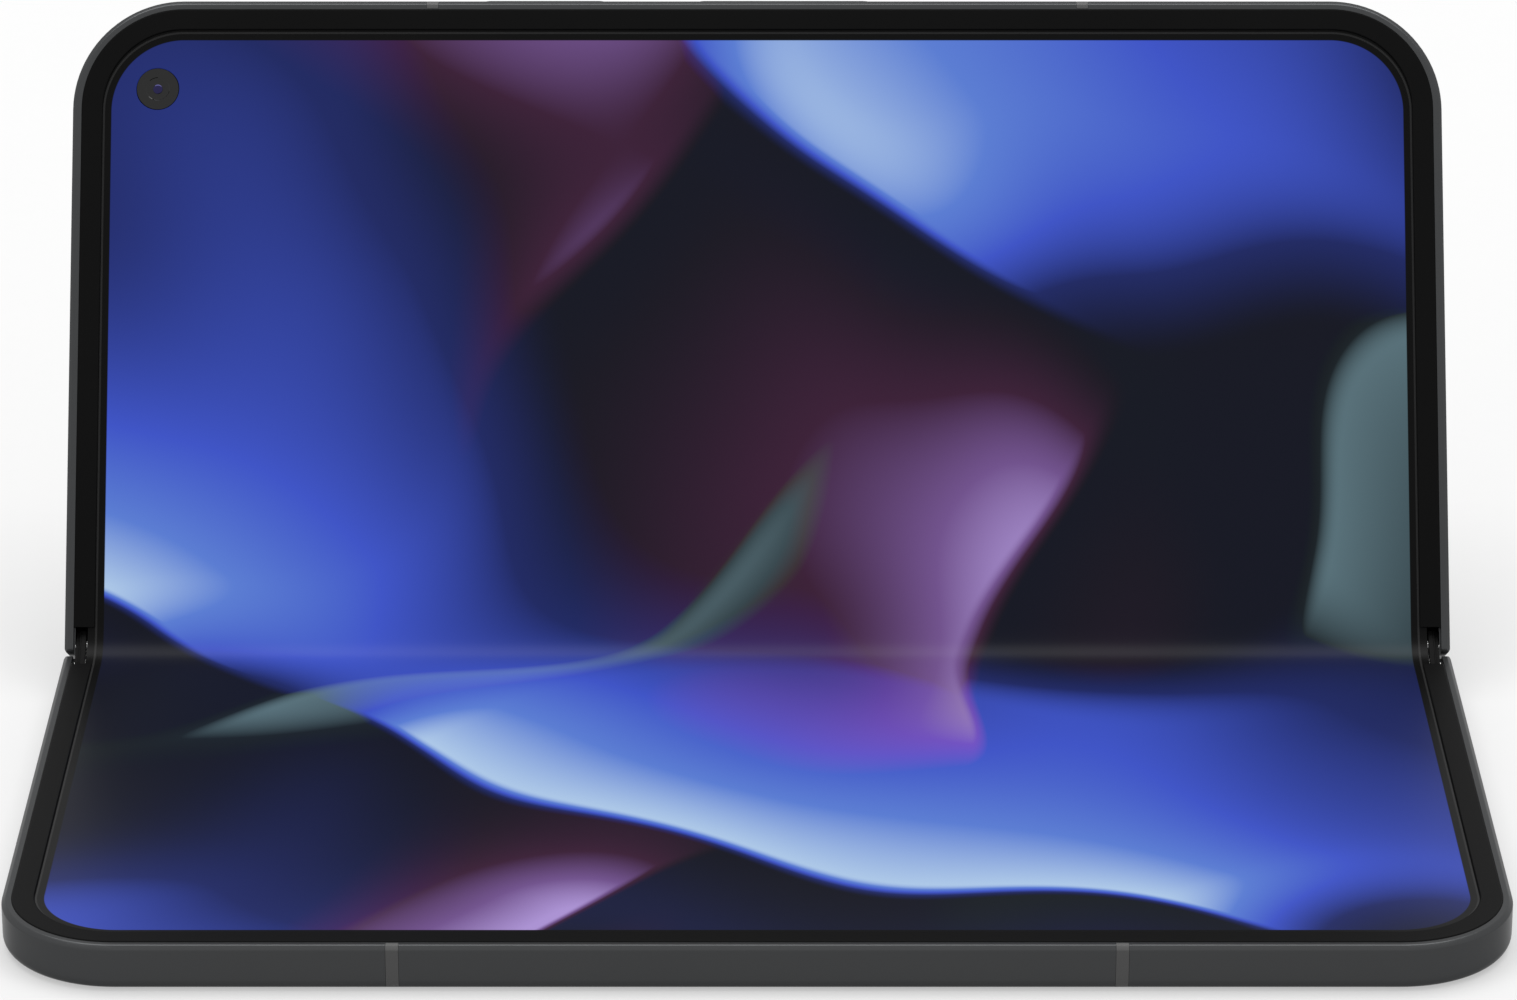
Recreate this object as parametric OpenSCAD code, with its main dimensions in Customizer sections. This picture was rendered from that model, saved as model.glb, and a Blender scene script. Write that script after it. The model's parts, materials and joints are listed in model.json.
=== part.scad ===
// Foldable smartphone: two thin halves joined by a spine with two pivots and sync gears.
// Each half is drawn lying flat: X runs along the hinge, Y outwards from the crease line, Z up,
// with Z = 0 at the top of the bezel rim. It is then turned about its pivot to the rest pose.

/* [Overall] */
// Length along the hinge
body_len = 155.2; // [150:0.2:190]
// Depth of one half, from the crease line to its outer edge
half_depth = 75.1; // [72:0.1:92]
// Thickness of one half
thickness = 5.1; // [5.1:0.1:6.4]
// Radius of the outer corners, seen from above
corner_r = 12.5; // [9:0.5:18]
// Fold of each half away from flat in the drawn pose, in degrees
rest_fold = 30; // [0:1:45]

/* [Hinge] */
// Distance of each pivot from the crease plane
pivot_a = 1.27; // [1.2:0.01:1.5]
// Depth of each pivot below the top of the rim
pivot_h = 1.10; // [1:0.01:1.3]
// Rounding of the frame ends about the pivots
knuckle_r = 1.0; // [0.8:0.05:1.05]
// Radius of the spine cover about each pivot
spine_r = 3.15; // [2.9:0.05:3.4]
// Running gap between the spine and the halves
spine_gap = 0.25; // [0.15:0.05:0.4]
// Wall of the spine cover
spine_wall = 0.45; // [0.3:0.05:0.5]
// Thickness of the frame wall beside the spine ends
knuckle_wall = 1.2; // [1:0.1:1.4]
// Thickness of the spine end caps
cap_t = 0.65; // [0.5:0.05:0.8]
// Radius of the pivot pins
pin_r = 0.35; // [0.3:0.01:0.4]
// Radial running clearance of the pins
pin_clear = 0.05; // [0.03:0.01:0.08]
// Size of the sync gear teeth, pitch diameter over tooth count
gear_module = 0.1; // [0.08:0.01:0.1]
// Teeth on each pivot gear
pivot_teeth = 12; // [12:1:13]
// Teeth on each idler gear
idler_teeth = 10; // [10:1:11]
// Thickness of the gears
gear_t = 0.6; // [0.4:0.05:0.7]
// Width of one hinge module along the hinge
module_w = 12; // [10:0.5:14]
// Distance between neighbouring hinge modules
module_pitch = 46; // [36:1:54]
// Width of a curved guide arm
arm_w = 3.6; // [3:0.1:4.2]
// Thickness of a curved guide rail
rail_t = 0.55; // [0.4:0.05:0.6]
// Running gap around a guide rail
rail_gap = 0.1; // [0.08:0.01:0.15]

/* [Frame and rim] */
// Thickness of the frame wall
wall = 1.5; // [1.3:0.1:2]
// Chamfer along the top edge of the frame
top_chamfer = 0.45; // [0.2:0.05:0.7]
// Rounding along the outer edge of the frame
bottom_round = 1.3; // [0.8:0.1:1.3]
// Distance of the bezel rim from the side of the body
rim_inset = 1.05; // [0.9:0.05:1.2]
// Width of the bezel rim
rim_w = 2.35; // [2:0.05:2.8]
// Length of rim left out beside the crease
rim_start = 2.75; // [2.5:0.05:3.2]
// Width of the antenna seams
seam_w = 1.3; // [0.8:0.1:1.6]
// Distance of each antenna seam from the middle
seam_x = 36.9; // [30:0.1:44]
// Depth of the antenna seams into the frame wall
seam_d = 0.9; // [0.6:0.1:1.2]

/* [Screen and plates] */
// Depth of the screen surface below the top of the rim
screen_drop = 0.25; // [0.15:0.01:0.3]
// Thickness of the flexible screen
screen_t = 0.45; // [0.3:0.01:0.5]
// Distance of the screen's edge from the side of the body
screen_inset = 2.6; // [2.5:0.05:2.8]
// Half length of the part of the screen that bends
bend_half = 3.4; // [3.2:0.1:4]
// Reach of the bend curve's handles along each half
bend_reach = 2.7; // [2.4:0.1:2.8]
// Thickness of the steel plate under the screen
support_t = 0.15; // [0.1:0.01:0.2]
// Thickness of the mid-plate
mid_t = 0.6; // [0.5:0.05:0.8]
// Thickness of the outer glass
glass_t = 0.6; // [0.5:0.05:0.65]
// Width of the metal strip between the hinge edge and the outer glass
hinge_strip = 6.2; // [5.8:0.1:7]

/* [Keys and tray] */
// Length of the power key
power_len = 14.1; // [10:0.1:18]
// Middle of the power key along the top edge
power_x = -24.2; // [-30:0.1:-20]
// Length of the volume key
volume_len = 19.8; // [16:0.1:24]
// Middle of the volume key along the top edge
volume_x = 3.0; // [0:0.1:8]
// Width of both keys across the edge
key_w = 1.9; // [1.5:0.1:2.2]
// Distance that a key stands out of the frame
key_proud = 0.32; // [0.3:0.01:0.5]
// Travel of a key
key_travel = 0.25; // [0.15:0.01:0.28]
// Gap around a key in its slot
key_gap = 0.1; // [0.05:0.01:0.15]
// Length of the SIM tray's face
tray_face = 15; // [14:0.1:17]
// Width of the SIM tray's face
tray_face_w = 1.5; // [1.3:0.1:1.8]
// Distance that the SIM tray reaches into the body
tray_depth = 17; // [14:0.5:20]

/* [Cameras and sockets] */
// Distance of the inner camera from the side of the body
inner_cam_x = 9.6; // [9:0.1:12]
// Distance of the inner camera from the outer edge
inner_cam_y = 10.2; // [9:0.1:12]
// Radius of the hole in the screen for the inner camera
inner_cam_r = 2.45; // [2:0.05:2.8]
// Length of the camera island along the hinge
island_l = 44; // [42:0.5:48]
// Width of the camera island
island_w = 40; // [38:0.5:42]
// Height of the camera island above the back glass
island_h = 1.6; // [1.2:0.1:2.2]
// Corner radius of the camera island
island_r = 9; // [6:0.5:12]
// Distance of the island's middle from the side of the body
island_x = 28.6; // [28:0.1:31]
// Distance of the island's middle from the outer edge
island_y = 26; // [25:0.5:28]
// Spacing between the camera lenses
lens_pitch = 18.5; // [17:0.1:19]
// Radius of a rear camera lens ring
lens_r = 6; // [5:0.1:6.5]
// Width of the USB-C socket's opening
usb_w = 8.34; // [8.34:Standard]
// Height of the USB-C socket's opening
usb_h = 2.56; // [2.56:Standard]
// Depth of the USB-C socket
usb_d = 7.3; // [6.5:0.1:8]
// Thickness of the USB-C socket's shell
usb_shell = 0.25; // [0.2:0.01:0.3]

/* [Hidden] */

// Facets of small round things, and of large ones
fine = 48;
large = 96;
// Overshoot of cutting shapes
cut = 1;
// Gap between pieces that are glued or laid together, and between loose components
seat = 0.02;
part_gap = 0.1;
rim_gap = 0.05;
lip_gap = 0.03;
rim_edge = 0.12;
// Gap beside a guide arm where it passes through the frame and the spine cover
arm_gap = 0.15;

// Levels below the top of the rim
lip_z = -(pivot_h - knuckle_r);
screen_z = -screen_drop;
support_z = screen_z - screen_t;
mid_z = support_z - support_t;
bay_top = mid_z - mid_t;
glass_z = -thickness + glass_t;
cut_r = spine_r + spine_gap;
skin_t = thickness - pivot_h - cut_r;
key_z = -thickness / 2;
// Top of the spine cover's sides, and of the brackets in it
trough_z = -pivot_h - 0.05;
bracket_z = trough_z - 0.2;
// Floor that leaves room for the folded screen, and its half width
tray_level = -2.3;
tray_t_spine = 0.2;
tray_half = 1.6;

// Lengths along the hinge
hw = body_len / 2;
cap_out = hw - knuckle_wall - 0.1;
cap_in = cap_out - cap_t;
gear_x = cap_in - 0.05 - gear_t;
modules = [-module_pitch, 0, module_pitch];

// Lengths outwards from the crease
edge_y = pivot_a - knuckle_r;
strip_y = hinge_strip;
bay_y = hinge_strip + 1.8;
arm_end = bay_y + 5;
crease_y = half_depth / 2;

// Guide rails, measured about the pivots
rail_out = spine_r - spine_wall - rail_gap;
rail_in = rail_out - rail_t;
rail_from = -132;
rail_to = 2;
arm_x = (module_w - arm_w) / 2 - 0.7;
// Levels of the arm where it crosses the side of the spine, and its thickness under the mid-plate
arm_bridge = [-1.75, -1.0];
arm_t = 0.75;
arm_screw_y = bay_y + 2.6;
arm_screw_r = 0.4;
arm_screw_head_r = 0.85;

// Sync gears, drawn in the flat pose, and the turn of the idlers from there to the rest pose
pivot_gear_r = gear_module * pivot_teeth / 2;
idler_r = gear_module * idler_teeth / 2;
idler_y = idler_r;
idler_z = -pivot_h - sqrt(pow(pivot_gear_r + idler_r, 2) - pow(pivot_a - idler_y, 2));
mesh_lower = atan2(idler_z + pivot_h, pivot_a - idler_y);
mesh_upper = atan2(-pivot_h - idler_z, pivot_a - idler_y);
phase_pivot_lower = mesh_lower;
phase_idler_lower = next_phase(phase_pivot_lower, pivot_teeth, idler_teeth, mesh_lower);
phase_idler_upper = next_phase(phase_idler_lower, idler_teeth, idler_teeth, 0);
phase_pivot_upper = next_phase(phase_idler_upper, idler_teeth, pivot_teeth, mesh_upper);
idler_turn = rest_fold * pivot_teeth / idler_teeth;
stud_r = 0.18;
stud_clear = 0.04;
// Tooth height above and below the pitch circle, in modules, and half widths, in tooth pitches
tooth_up = 0.85;
tooth_down = 1.1;
tooth_half = [0.29, 0.21, 0.1];
// How far the pivot pins stop short of the body's side
pin_cover = 0.55;
// Strip of the end cap that shows between the rims: half length, thickness and width
cap_strip_half = rim_start - 0.45;
cap_strip_t = 0.26;
cap_strip_w = 0.6;
// Bracket screws
bracket_screw_r = 0.3;
bracket_head_r = 0.75;
bracket_head_t = 0.25;
screw_clear = 0.07;
cover_left = 0.15;

// Cable across the hinge: its span along the hinge, its level in the halves, its loop and tails
flex_x = [16, 30];
flex_t = 0.12;
flex_z = -2.1;
flex_loop = 4.3;
flex_reach = 3.4;
flex_tail = 5;

// Components: spans along the hinge, outwards from the crease, and corner radius
part_r = 1.5;
lower_battery_x = [-40, 40];
lower_battery_y = [bay_y + 1, half_depth - 13];
lower_battery_z = [glass_z + 0.6, bay_top - 1.3];
upper_battery_x = [-18, 47];
upper_battery_y = [bay_y + 7, half_depth - 7];
upper_battery_z = [glass_z + 0.4, bay_top - 0.15];
board_t = 0.8;
board_top = bay_top - part_gap;
lower_board_x = [-70, -43];
lower_board_y = [bay_y + 8, half_depth - 20];
lower_chip_x = [-66, -50];
lower_chip_y = [bay_y + 14, bay_y + 30];
chip_z = bay_top - 2;
lower_speaker_x = [-hw + wall + 5.7, -hw + wall + 18.7];
lower_speaker_y = [half_depth - 18.5, half_depth - 8.5];
motor_x = [45.5, 56.5];
motor_y = [half_depth - 19, half_depth - 11];
deep_z = [glass_z + 0.6, board_top];
magnet_x = [50, 62];
magnet_y = [half_depth - 4.6, half_depth - 2.4];
magnet_t = 1.6;
screw_r = 0.5;
screw_head_r = 0.9;
screw_head_t = 0.4;
screw_x = hw - 3.6;
screw_ys = [bay_y + 6, half_depth - 16];

// Cover camera, cover screen and their hole
cover_cam_y = half_depth - 8.4;
cover_cam_r = 2.2;
cover_cam_body = 5.2;
cover_screen_t = 0.44;

// SIM tray, its card and its socket
tray_y = half_depth / 2;
tray_z = key_z - part_gap / 2;
tray_card = 12.3;
tray_t = 0.8;
tray_web = 0.2;
tray_pocket = 9.2;
tray_rim = [1, 6];
socket_wall = 0.4;
socket_clear = 0.2;
eject_r = 0.4;
eject_off = 2.2;

// Speaker openings in the side rails
grille_r = 0.45;
grille_pitch = 1.9;
grille_y = half_depth - 21;

// Charging socket and its board
usb_y = half_depth / 2;
usb_z = -thickness / 2;
usb_back = hw - part_gap - usb_d;
usb_tongue_w = 6.6;
usb_tongue_t = 0.7;
usb_tongue_end = 1.3;
usb_board_x = 50;
usb_board_w = 16;
mic_r = 0.4;
mic_off = 10;
upper_speaker_x = [hw - wall - 20.2, hw - wall - 4.2];
upper_speaker_y = [half_depth - 25, half_depth - 7];

// Rear cameras in their island
island_cx = -hw + island_x;
island_cy = half_depth - island_y;
island_step = 0.5;
island_edge = 0.4;
island_rim = 2.5;
lens_z = -thickness - island_h;
lens_gap = 0.2;
lens_off = lens_pitch / 2;
camera_body = 10.6;
flash_r = 2.3;
flash_gap = 0.1;

// Inner camera
inner_cx = -hw + inner_cam_x;
inner_cy = half_depth - inner_cam_y;
inner_body = 4.9;
inner_body_t = 2.3;

main_board_x = [-72, -20];
main_board_y = [bay_y + 7, island_cy - lens_off - camera_body / 2 - 1.2];
shield_x = [-62, -42];
coil_r = [11, 23];
coil_t = 0.25;

// Keys: flange behind the wall, plunger and switches
key_flange = 0.6;
key_flange_t = 0.4;
plunger_r = 0.5;
plunger_y = half_depth - wall - 1.1;
switch_r = 0.8;
switch_plate = 0.4;
two_switch_len = 17;

// Tooth angle of the gear that follows: it shows a gap where the gear before it shows a tooth.
// beta is the direction from the first gear's middle to the second's.
function next_phase(phase, teeth_1, teeth_2, beta) =
    beta + 180 + 180 / teeth_2 - (phase - beta) * teeth_1 / teeth_2;
function polar(r, a) = [r * cos(a), r * sin(a)];
function arc(cx, cy, r, from, to, n) =
    [for (i = [0 : n]) [cx, cy] + polar(r, from + (to - from) * i / n)];
function bezier(p, t) =
    pow(1 - t, 3) * p[0] + 3 * pow(1 - t, 2) * t * p[1]
    + 3 * (1 - t) * t * t * p[2] + pow(t, 3) * p[3];
function bezier_dir(p, t) =
    3 * pow(1 - t, 2) * (p[1] - p[0]) + 6 * (1 - t) * t * (p[2] - p[1])
    + 3 * t * t * (p[3] - p[2]);
function left_of(d) = [-d[1], d[0]] / norm(d);

// ---- Places: from the flat pose to the rest pose ----

module turn_about(y, z, a) {
    translate([0, y, z]) rotate([a, 0, 0]) translate([0, -y, -z]) children();
}

module in_lower() {
    translate([0, crease_y, thickness]) mirror([0, 1, 0]) children();
}

module in_spine() {
    translate([0, crease_y, thickness]) turn_about(-pivot_a, -pivot_h, rest_fold) children();
}

module in_upper() {
    in_spine() turn_about(pivot_a, -pivot_h, rest_fold) children();
}

module both_sides() {
    children();
    mirror([1, 0, 0]) children();
}

// ---- Shapes shared by the parts ----

// Box between two corners
module box(x, y, z) {
    translate([x[0], y[0], z[0]]) cube([x[1] - x[0], y[1] - y[0], z[1] - z[0]]);
}

// Flat shape with round corners, centred
module round_rect(w, d, r) {
    union() {
        square([w - 2 * r, d], center = true);
        square([w, d - 2 * r], center = true);
        for (sx = [-1, 1], sy = [-1, 1])
            translate([sx * (w / 2 - r), sy * (d / 2 - r)]) circle(r, $fn = fine);
    }
}

// Plate with round corners, between spans on each axis
module round_plate(x, y, z, r) {
    translate([(x[0] + x[1]) / 2, (y[0] + y[1]) / 2, z[0]]) linear_extrude(z[1] - z[0])
        round_rect(x[1] - x[0], y[1] - y[0], r);
}

// Plan of one half, drawn in from its side, from a given distance off the crease
module half_plan(inset, from_y) {
    w = hw - inset;
    d = half_depth - inset;
    r = corner_r - inset;
    union() {
        translate([-w, from_y]) square([2 * w, d - r - from_y]);
        translate([r - w, from_y]) square([2 * (w - r), d - from_y]);
        for (s = [-1, 1]) translate([s * (w - r), d - r]) circle(r, $fn = large);
    }
}

module half_plate(inset, from_y, z) {
    translate([0, 0, z[0]]) linear_extrude(z[1] - z[0]) half_plan(inset, from_y);
}

// Sweep of a wall section round the three free sides of a half.
// The section's x runs inwards from the side of the body, and its y is the level.
module sweep_sides(from_y) {
    run = half_depth - corner_r - from_y;
    both_sides()
        translate([-hw, half_depth - corner_r, 0]) rotate([90, 0, 0])
            linear_extrude(run) children();
    translate([corner_r - hw, half_depth, 0]) rotate([90, 0, 90])
        linear_extrude(2 * (hw - corner_r)) mirror([1, 0]) children();
    both_sides()
        translate([hw - corner_r, half_depth - corner_r, 0])
            rotate_extrude(angle = 90, $fn = large) translate([corner_r, 0]) mirror([1, 0])
                children();
}

// Run of a side section along the hinge, centred
module run_x(len) {
    translate([-len / 2, 0, 0]) rotate([90, 0, 90]) linear_extrude(len) children();
}

// Cylinder along the hinge from one x to another
module rod_x(r, x, y, z) {
    translate([x[0], y, z]) rotate([0, 90, 0]) cylinder(r = r, h = x[1] - x[0], $fn = fine);
}

// Round bar along the depth
module rod_y(r, x, y, z) {
    translate([x, y[1], z]) rotate([90, 0, 0]) cylinder(r = r, h = y[1] - y[0], $fn = fine);
}

module rod_z(r, x, y, z) {
    translate([x, y, z[0]]) cylinder(r = r, h = z[1] - z[0], $fn = fine);
}

// Slot with round ends through a side wall: long along x, cut along y
module slot_through_y(x, z, len, w, y) {
    translate([x, y[1], z]) rotate([90, 0, 0]) linear_extrude(y[1] - y[0])
        round_rect(len, w, w / 2 - seat);
}

// The same, long along y and cut along x
module slot_through_x(y, z, len, w, x) {
    translate([x[0], y, z]) rotate([90, 0, 90]) linear_extrude(x[1] - x[0])
        round_rect(len, w, w / 2 - seat);
}

// Screw with its head down, from a level up into what it holds
module screw(x, y, z, len) {
    rod_z(screw_head_r, x, y, [z - screw_head_t, z]);
    rod_z(screw_r, x, y, [z - seat, z + len]);
}

// Round openings for a speaker, through a side wall on the right
module grille(z) {
    for (i = [-2 : 2])
        rod_x(grille_r, [hw - wall - cut, hw + cut], grille_y + grille_pitch * i, z);
}

// ---- Frame of a half ----

// Section of the frame wall
module wall_section(depth) {
    polygon(concat(
        [[depth, support_z], [rim_inset - rim_gap, support_z], [rim_inset - rim_gap, lip_z],
         [top_chamfer, lip_z], [0, lip_z - top_chamfer]],
        arc(bottom_round, bottom_round - thickness, bottom_round, 180, 270, 8),
        [[depth, -thickness]]
    ));
}

// Space that the spine sweeps inside a half
module spine_sweep() {
    len = cap_out + 0.1;
    rod_x(cut_r, [-len, len], pivot_a, -pivot_h);
    box([-len, len], [-cut, pivot_a], [skin_t - thickness, cut]);
}

// Corner at the crease, outside the knuckle's round
module knuckle_trim() {
    difference() {
        box([-hw - cut, hw + cut], [-cut, pivot_a], [-pivot_h, cut]);
        rod_x(knuckle_r, [-hw - 2 * cut, hw + 2 * cut], pivot_a, -pivot_h);
    }
}

// Slots that let the guide arms through the bar
module arm_slots(side) {
    for (m = modules)
        box(arm_span(m, side, arm_gap), [pivot_a, strip_y + cut],
            [bay_top - arm_t - part_gap, cut]);
}

function arm_span(m, side, gap) =
    [m + side * arm_x - arm_w / 2 - gap, m + side * arm_x + arm_w / 2 + gap];

module flex_slot() {
    box([flex_x[0] - 4 * part_gap, flex_x[1] + 4 * part_gap], [pivot_a, strip_y + cut],
        [flex_z - 4 * part_gap, flex_z + 4 * part_gap]);
}

// Frame before its own openings are cut
module frame_blank(side) {
    difference() {
        union() {
            sweep_sides(edge_y) wall_section(wall);
            // Metal bar next to the spine
            box([wall - hw - seat, hw - wall + seat], [edge_y, strip_y], [-thickness, mid_z]);
        }
        spine_sweep();
        knuckle_trim();
        both_sides()
            rod_x(pin_r + seat / 2, [hw - knuckle_wall - cut, hw - pin_cover + 2 * seat], pivot_a,
                  -pivot_h);
        arm_slots(side);
        flex_slot();
        seam_boxes();
    }
}

module seam_boxes() {
    both_sides()
        box([seam_x - seam_w / 2, seam_x + seam_w / 2], [half_depth - seam_d, half_depth + cut],
            [-thickness - cut, cut]);
}

module antenna_seams() {
    intersection() {
        seam_boxes();
        translate([corner_r - hw, half_depth, 0]) rotate([90, 0, 90])
            linear_extrude(2 * (hw - corner_r)) mirror([1, 0]) wall_section(wall);
    }
}

module bezel_rim() {
    lip = rim_inset + rim_w;
    step = screen_inset - part_gap;
    sweep_sides(rim_start)
        polygon([[rim_inset, support_z], [rim_inset, -rim_edge], [rim_inset + rim_edge, 0],
                 [lip - rim_edge, 0], [lip, -rim_edge], [lip, screen_z + lip_gap],
                 [step, screen_z + lip_gap], [step, support_z]]);
}

module midplate() {
    difference() {
        half_plate(wall + seat, strip_y + seat, [bay_top, mid_z]);
        children();
    }
}

module support_plate() {
    difference() {
        half_plate(wall + seat, strip_y, [mid_z + seat / 2, support_z - seat / 2]);
        children();
    }
}

module screen_half() {
    half_plate(screen_inset, bend_half, [support_z, screen_z]);
}

module outer_glass() {
    half_plate(wall + seat, strip_y + seat, [-thickness, glass_z]);
}

module magnets() {
    both_sides() box(magnet_x, magnet_y, [bay_top - magnet_t, bay_top]);
}

module half_screws() {
    both_sides() for (y = screw_ys) screw(screw_x, y, bay_top, mid_t - part_gap);
}

module screw_holes() {
    both_sides() for (y = screw_ys)
        rod_z(screw_r + seat, screw_x, y, [bay_top - cut, bay_top + mid_t - part_gap]);
}

// Curved rail about the pivot and the arm that carries it under the mid-plate
module hinge_arms(side) {
    for (m = modules)
        difference() {
            union() {
                translate([m + side * arm_x, 0, 0]) run_x(arm_w) rail_section();
                box(arm_span(m, side, 0), [pivot_a + rail_in + seat, strip_y], arm_bridge);
                box(arm_span(m, side, 0), [strip_y - cut, arm_end],
                    [bay_top - arm_t, bay_top - seat]);
            }
            rod_z(arm_screw_r + seat, m + side * arm_x, arm_screw_y, [bay_top - 2, bay_top]);
        }
}

module arm_screws(side) {
    for (m = modules) {
        rod_z(arm_screw_r, m + side * arm_x, arm_screw_y,
              [bay_top - arm_t - seat, bay_top + mid_t - 2 * part_gap]);
        rod_z(arm_screw_head_r, m + side * arm_x, arm_screw_y,
              [bay_top - arm_t - screw_head_t, bay_top - arm_t - seat / 2]);
    }
}

module arm_screw_holes(side) {
    for (m = modules)
        rod_z(arm_screw_r + seat, m + side * arm_x, arm_screw_y,
              [bay_top - cut, bay_top + mid_t - 2 * part_gap]);
}

module rail_section() {
    translate([pivot_a, -pivot_h])
        polygon(concat(arc(0, 0, rail_out, rail_from, rail_to, 36),
                       arc(0, 0, rail_in, rail_to, rail_from, 36)));
}

// ---- Sync gears ----

module gear_outline(teeth, phase) {
    r = gear_module * teeth / 2;
    root = r - tooth_down * gear_module;
    tip = r + tooth_up * gear_module;
    half = tooth_half * 360 / teeth;
    base = root - cut * gear_module / 2;
    union() {
        circle(root, $fn = fine);
        for (i = [0 : teeth - 1])
            rotate(phase + i * 360 / teeth)
                polygon([polar(base, -half[0]), polar(r, -half[1]), polar(tip, -half[2]),
                         polar(tip, half[2]), polar(r, half[1]), polar(base, half[0])]);
    }
}

// Pivot pins, held in the frame's knuckles, each with its gear inside the end cap
module pivot_gears(phase) {
    for (s = [-1, 1]) {
        ends = [s * (gear_x + gear_t / 2), s * (hw - pin_cover)];
        rod_x(pin_r, [min(ends), max(ends)], pivot_a, -pivot_h);
        translate([s * (gear_x + gear_t / 2), pivot_a, -pivot_h]) run_x(gear_t)
            gear_outline(pivot_teeth, phase);
    }
}

module idler(s, y, phase) {
    x = s * (gear_x + gear_t / 2);
    difference() {
        translate([x, y, idler_z]) run_x(gear_t) gear_outline(idler_teeth, phase);
        rod_x(stud_r + stud_clear, [x - gear_t, x + gear_t], y, idler_z);
    }
}

// ---- Spine ----

// Side section of the spine, below a level
module spine_section(r, top) {
    intersection() {
        union() {
            for (s = [-1, 1]) translate([s * pivot_a, -pivot_h]) circle(r, $fn = large);
            translate([-pivot_a, -pivot_h - r]) square([2 * pivot_a, r]);
        }
        translate([-2 * r, top - 2 * r]) square([4 * r, 2 * r]);
    }
}

module spine_trough() {
    difference() {
        run_x(2 * cap_in) difference() {
            spine_section(spine_r, trough_z);
            spine_section(spine_r - spine_wall, 0);
        }
        for (m = modules, s = [-1, 1])
            box(arm_span(m, s, arm_gap), s > 0 ? [0, 2 * spine_r] : [-2 * spine_r, 0],
                [arm_bridge[0] - 2 * arm_gap, cut]);
        for (m = modules)
            rod_z(bracket_screw_r + seat, m, 0, [cover_left - pivot_h - spine_r, -pivot_h]);
    }
}

// Block that guides the curved rails of both halves
module bracket() {
    difference() {
        run_x(module_w) difference() {
            spine_section(spine_r - spine_wall - seat, bracket_z);
            translate([-tray_half - 2 * part_gap, tray_level - tray_t_spine])
                square([2 * tray_half + 4 * part_gap, spine_r]);
        }
        for (s = [-1, 1])
            translate([s * arm_x, s * pivot_a, -pivot_h]) rotate([0, 90, 0])
                difference() {
                    cylinder(r = spine_r, h = arm_w + 2 * rail_gap, center = true, $fn = large);
                    cylinder(r = rail_in - rail_gap, h = arm_w + 4 * rail_gap, center = true,
                             $fn = large);
                }
        rod_z(bracket_screw_r + screw_clear, 0, 0, [-thickness, 0]);
    }
}

module end_cap(s) {
    x = (cap_in + cap_out) / 2;
    face_bottom = trough_z - 2 * part_gap;
    difference() {
        union() {
            translate([s * x, 0, 0]) run_x(cap_t) {
                spine_section(spine_r, trough_z);
                translate([0, (lip_z + face_bottom) / 2])
                    round_rect(2 * cap_strip_half, lip_z - face_bottom, cap_strip_t);
            }
            // Strip that shows between the two bezel rims
            translate([s * (cap_in - cap_strip_w / 3), 0, lip_z - cap_strip_t / 2])
                run_x(cap_strip_w) round_rect(2 * cap_strip_half, cap_strip_t, rim_edge);
            for (y = [-idler_y, idler_y])
                translate([s * (cap_in - gear_t / 2), y, idler_z]) rotate([0, 90, 0])
                    cylinder(r = stud_r, h = gear_t + 2 * part_gap, center = true, $fn = fine);
        }
        for (y = [-pivot_a, pivot_a])
            translate([s * x, y, -pivot_h]) rotate([0, 90, 0])
                cylinder(r = pin_r + pin_clear, h = 4 * cap_t, center = true, $fn = fine);
    }
}

// Curve from one half to the other in the rest pose, in the spine's own frame. It leaves each
// half at a distance from the crease and a level, and its handles run on along the halves.
function crossing(from_y, level, reach) =
    let (y = from_y - pivot_a, z = level + pivot_h, c = cos(rest_fold), s = sin(rest_fold))
    let (end = [pivot_a + c * y - s * z, s * y + c * z - pivot_h])
    let (grip = end - reach * [c, s])
    [[-end[0], end[1]], [-grip[0], grip[1]], grip, end];

// Strip of even thickness under a curve, with a straight tail at each end
module strip_section(curve, t, n, tail = 0) {
    start_dir = bezier_dir(curve, 0) / norm(bezier_dir(curve, 0));
    end_dir = bezier_dir(curve, 1) / norm(bezier_dir(curve, 1));
    tails = tail > 0 ? [tail] : [];
    polygon(concat(
        [for (l = tails) curve[0] - l * start_dir],
        [for (i = [0 : n]) bezier(curve, i / n)],
        [for (l = tails) curve[3] + l * end_dir],
        [for (l = tails) curve[3] + l * end_dir - t * left_of(end_dir)],
        [for (i = [n : -1 : 0]) bezier(curve, i / n) - t * left_of(bezier_dir(curve, i / n))],
        [for (l = tails) curve[0] - l * start_dir - t * left_of(start_dir)]
    ));
}

// ---- Parts of the lower half ----

module lower_frame() {
    color("#4a4b4e") in_lower() difference() {
        frame_blank(-1);
        slot_through_x(tray_y, tray_z, tray_face + 2 * part_gap, tray_face_w + 2 * part_gap,
                       [hw - wall - cut, hw + cut]);
        rod_x(eject_r, [hw - wall - cut, hw + cut], tray_y + tray_face / 2 + eject_off, tray_z);
        both_sides() grille(tray_z);
    }
}

module lower_midplate() {
    color("#8a8c90") in_lower() midplate() {
        screw_holes();
        arm_screw_holes(-1);
    }
}

module lower_bezel_rim() {
    color("#151515") in_lower() bezel_rim();
}

module lower_support_plate() {
    color("#9a9c9f") in_lower() support_plate();
}

module lower_screen() {
    color("#0c0d16") in_lower() screen_half();
}

module cover_glass() {
    color("#08090a") in_lower() outer_glass();
}

module cover_screen() {
    color("#101318") in_lower() difference() {
        half_plate(wall + cut, bay_y, [glass_z + seat / 2, glass_z + cover_screen_t]);
        rod_z(cover_cam_r + 2 * part_gap, 0, cover_cam_y, [-thickness, 0]);
    }
}

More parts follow.
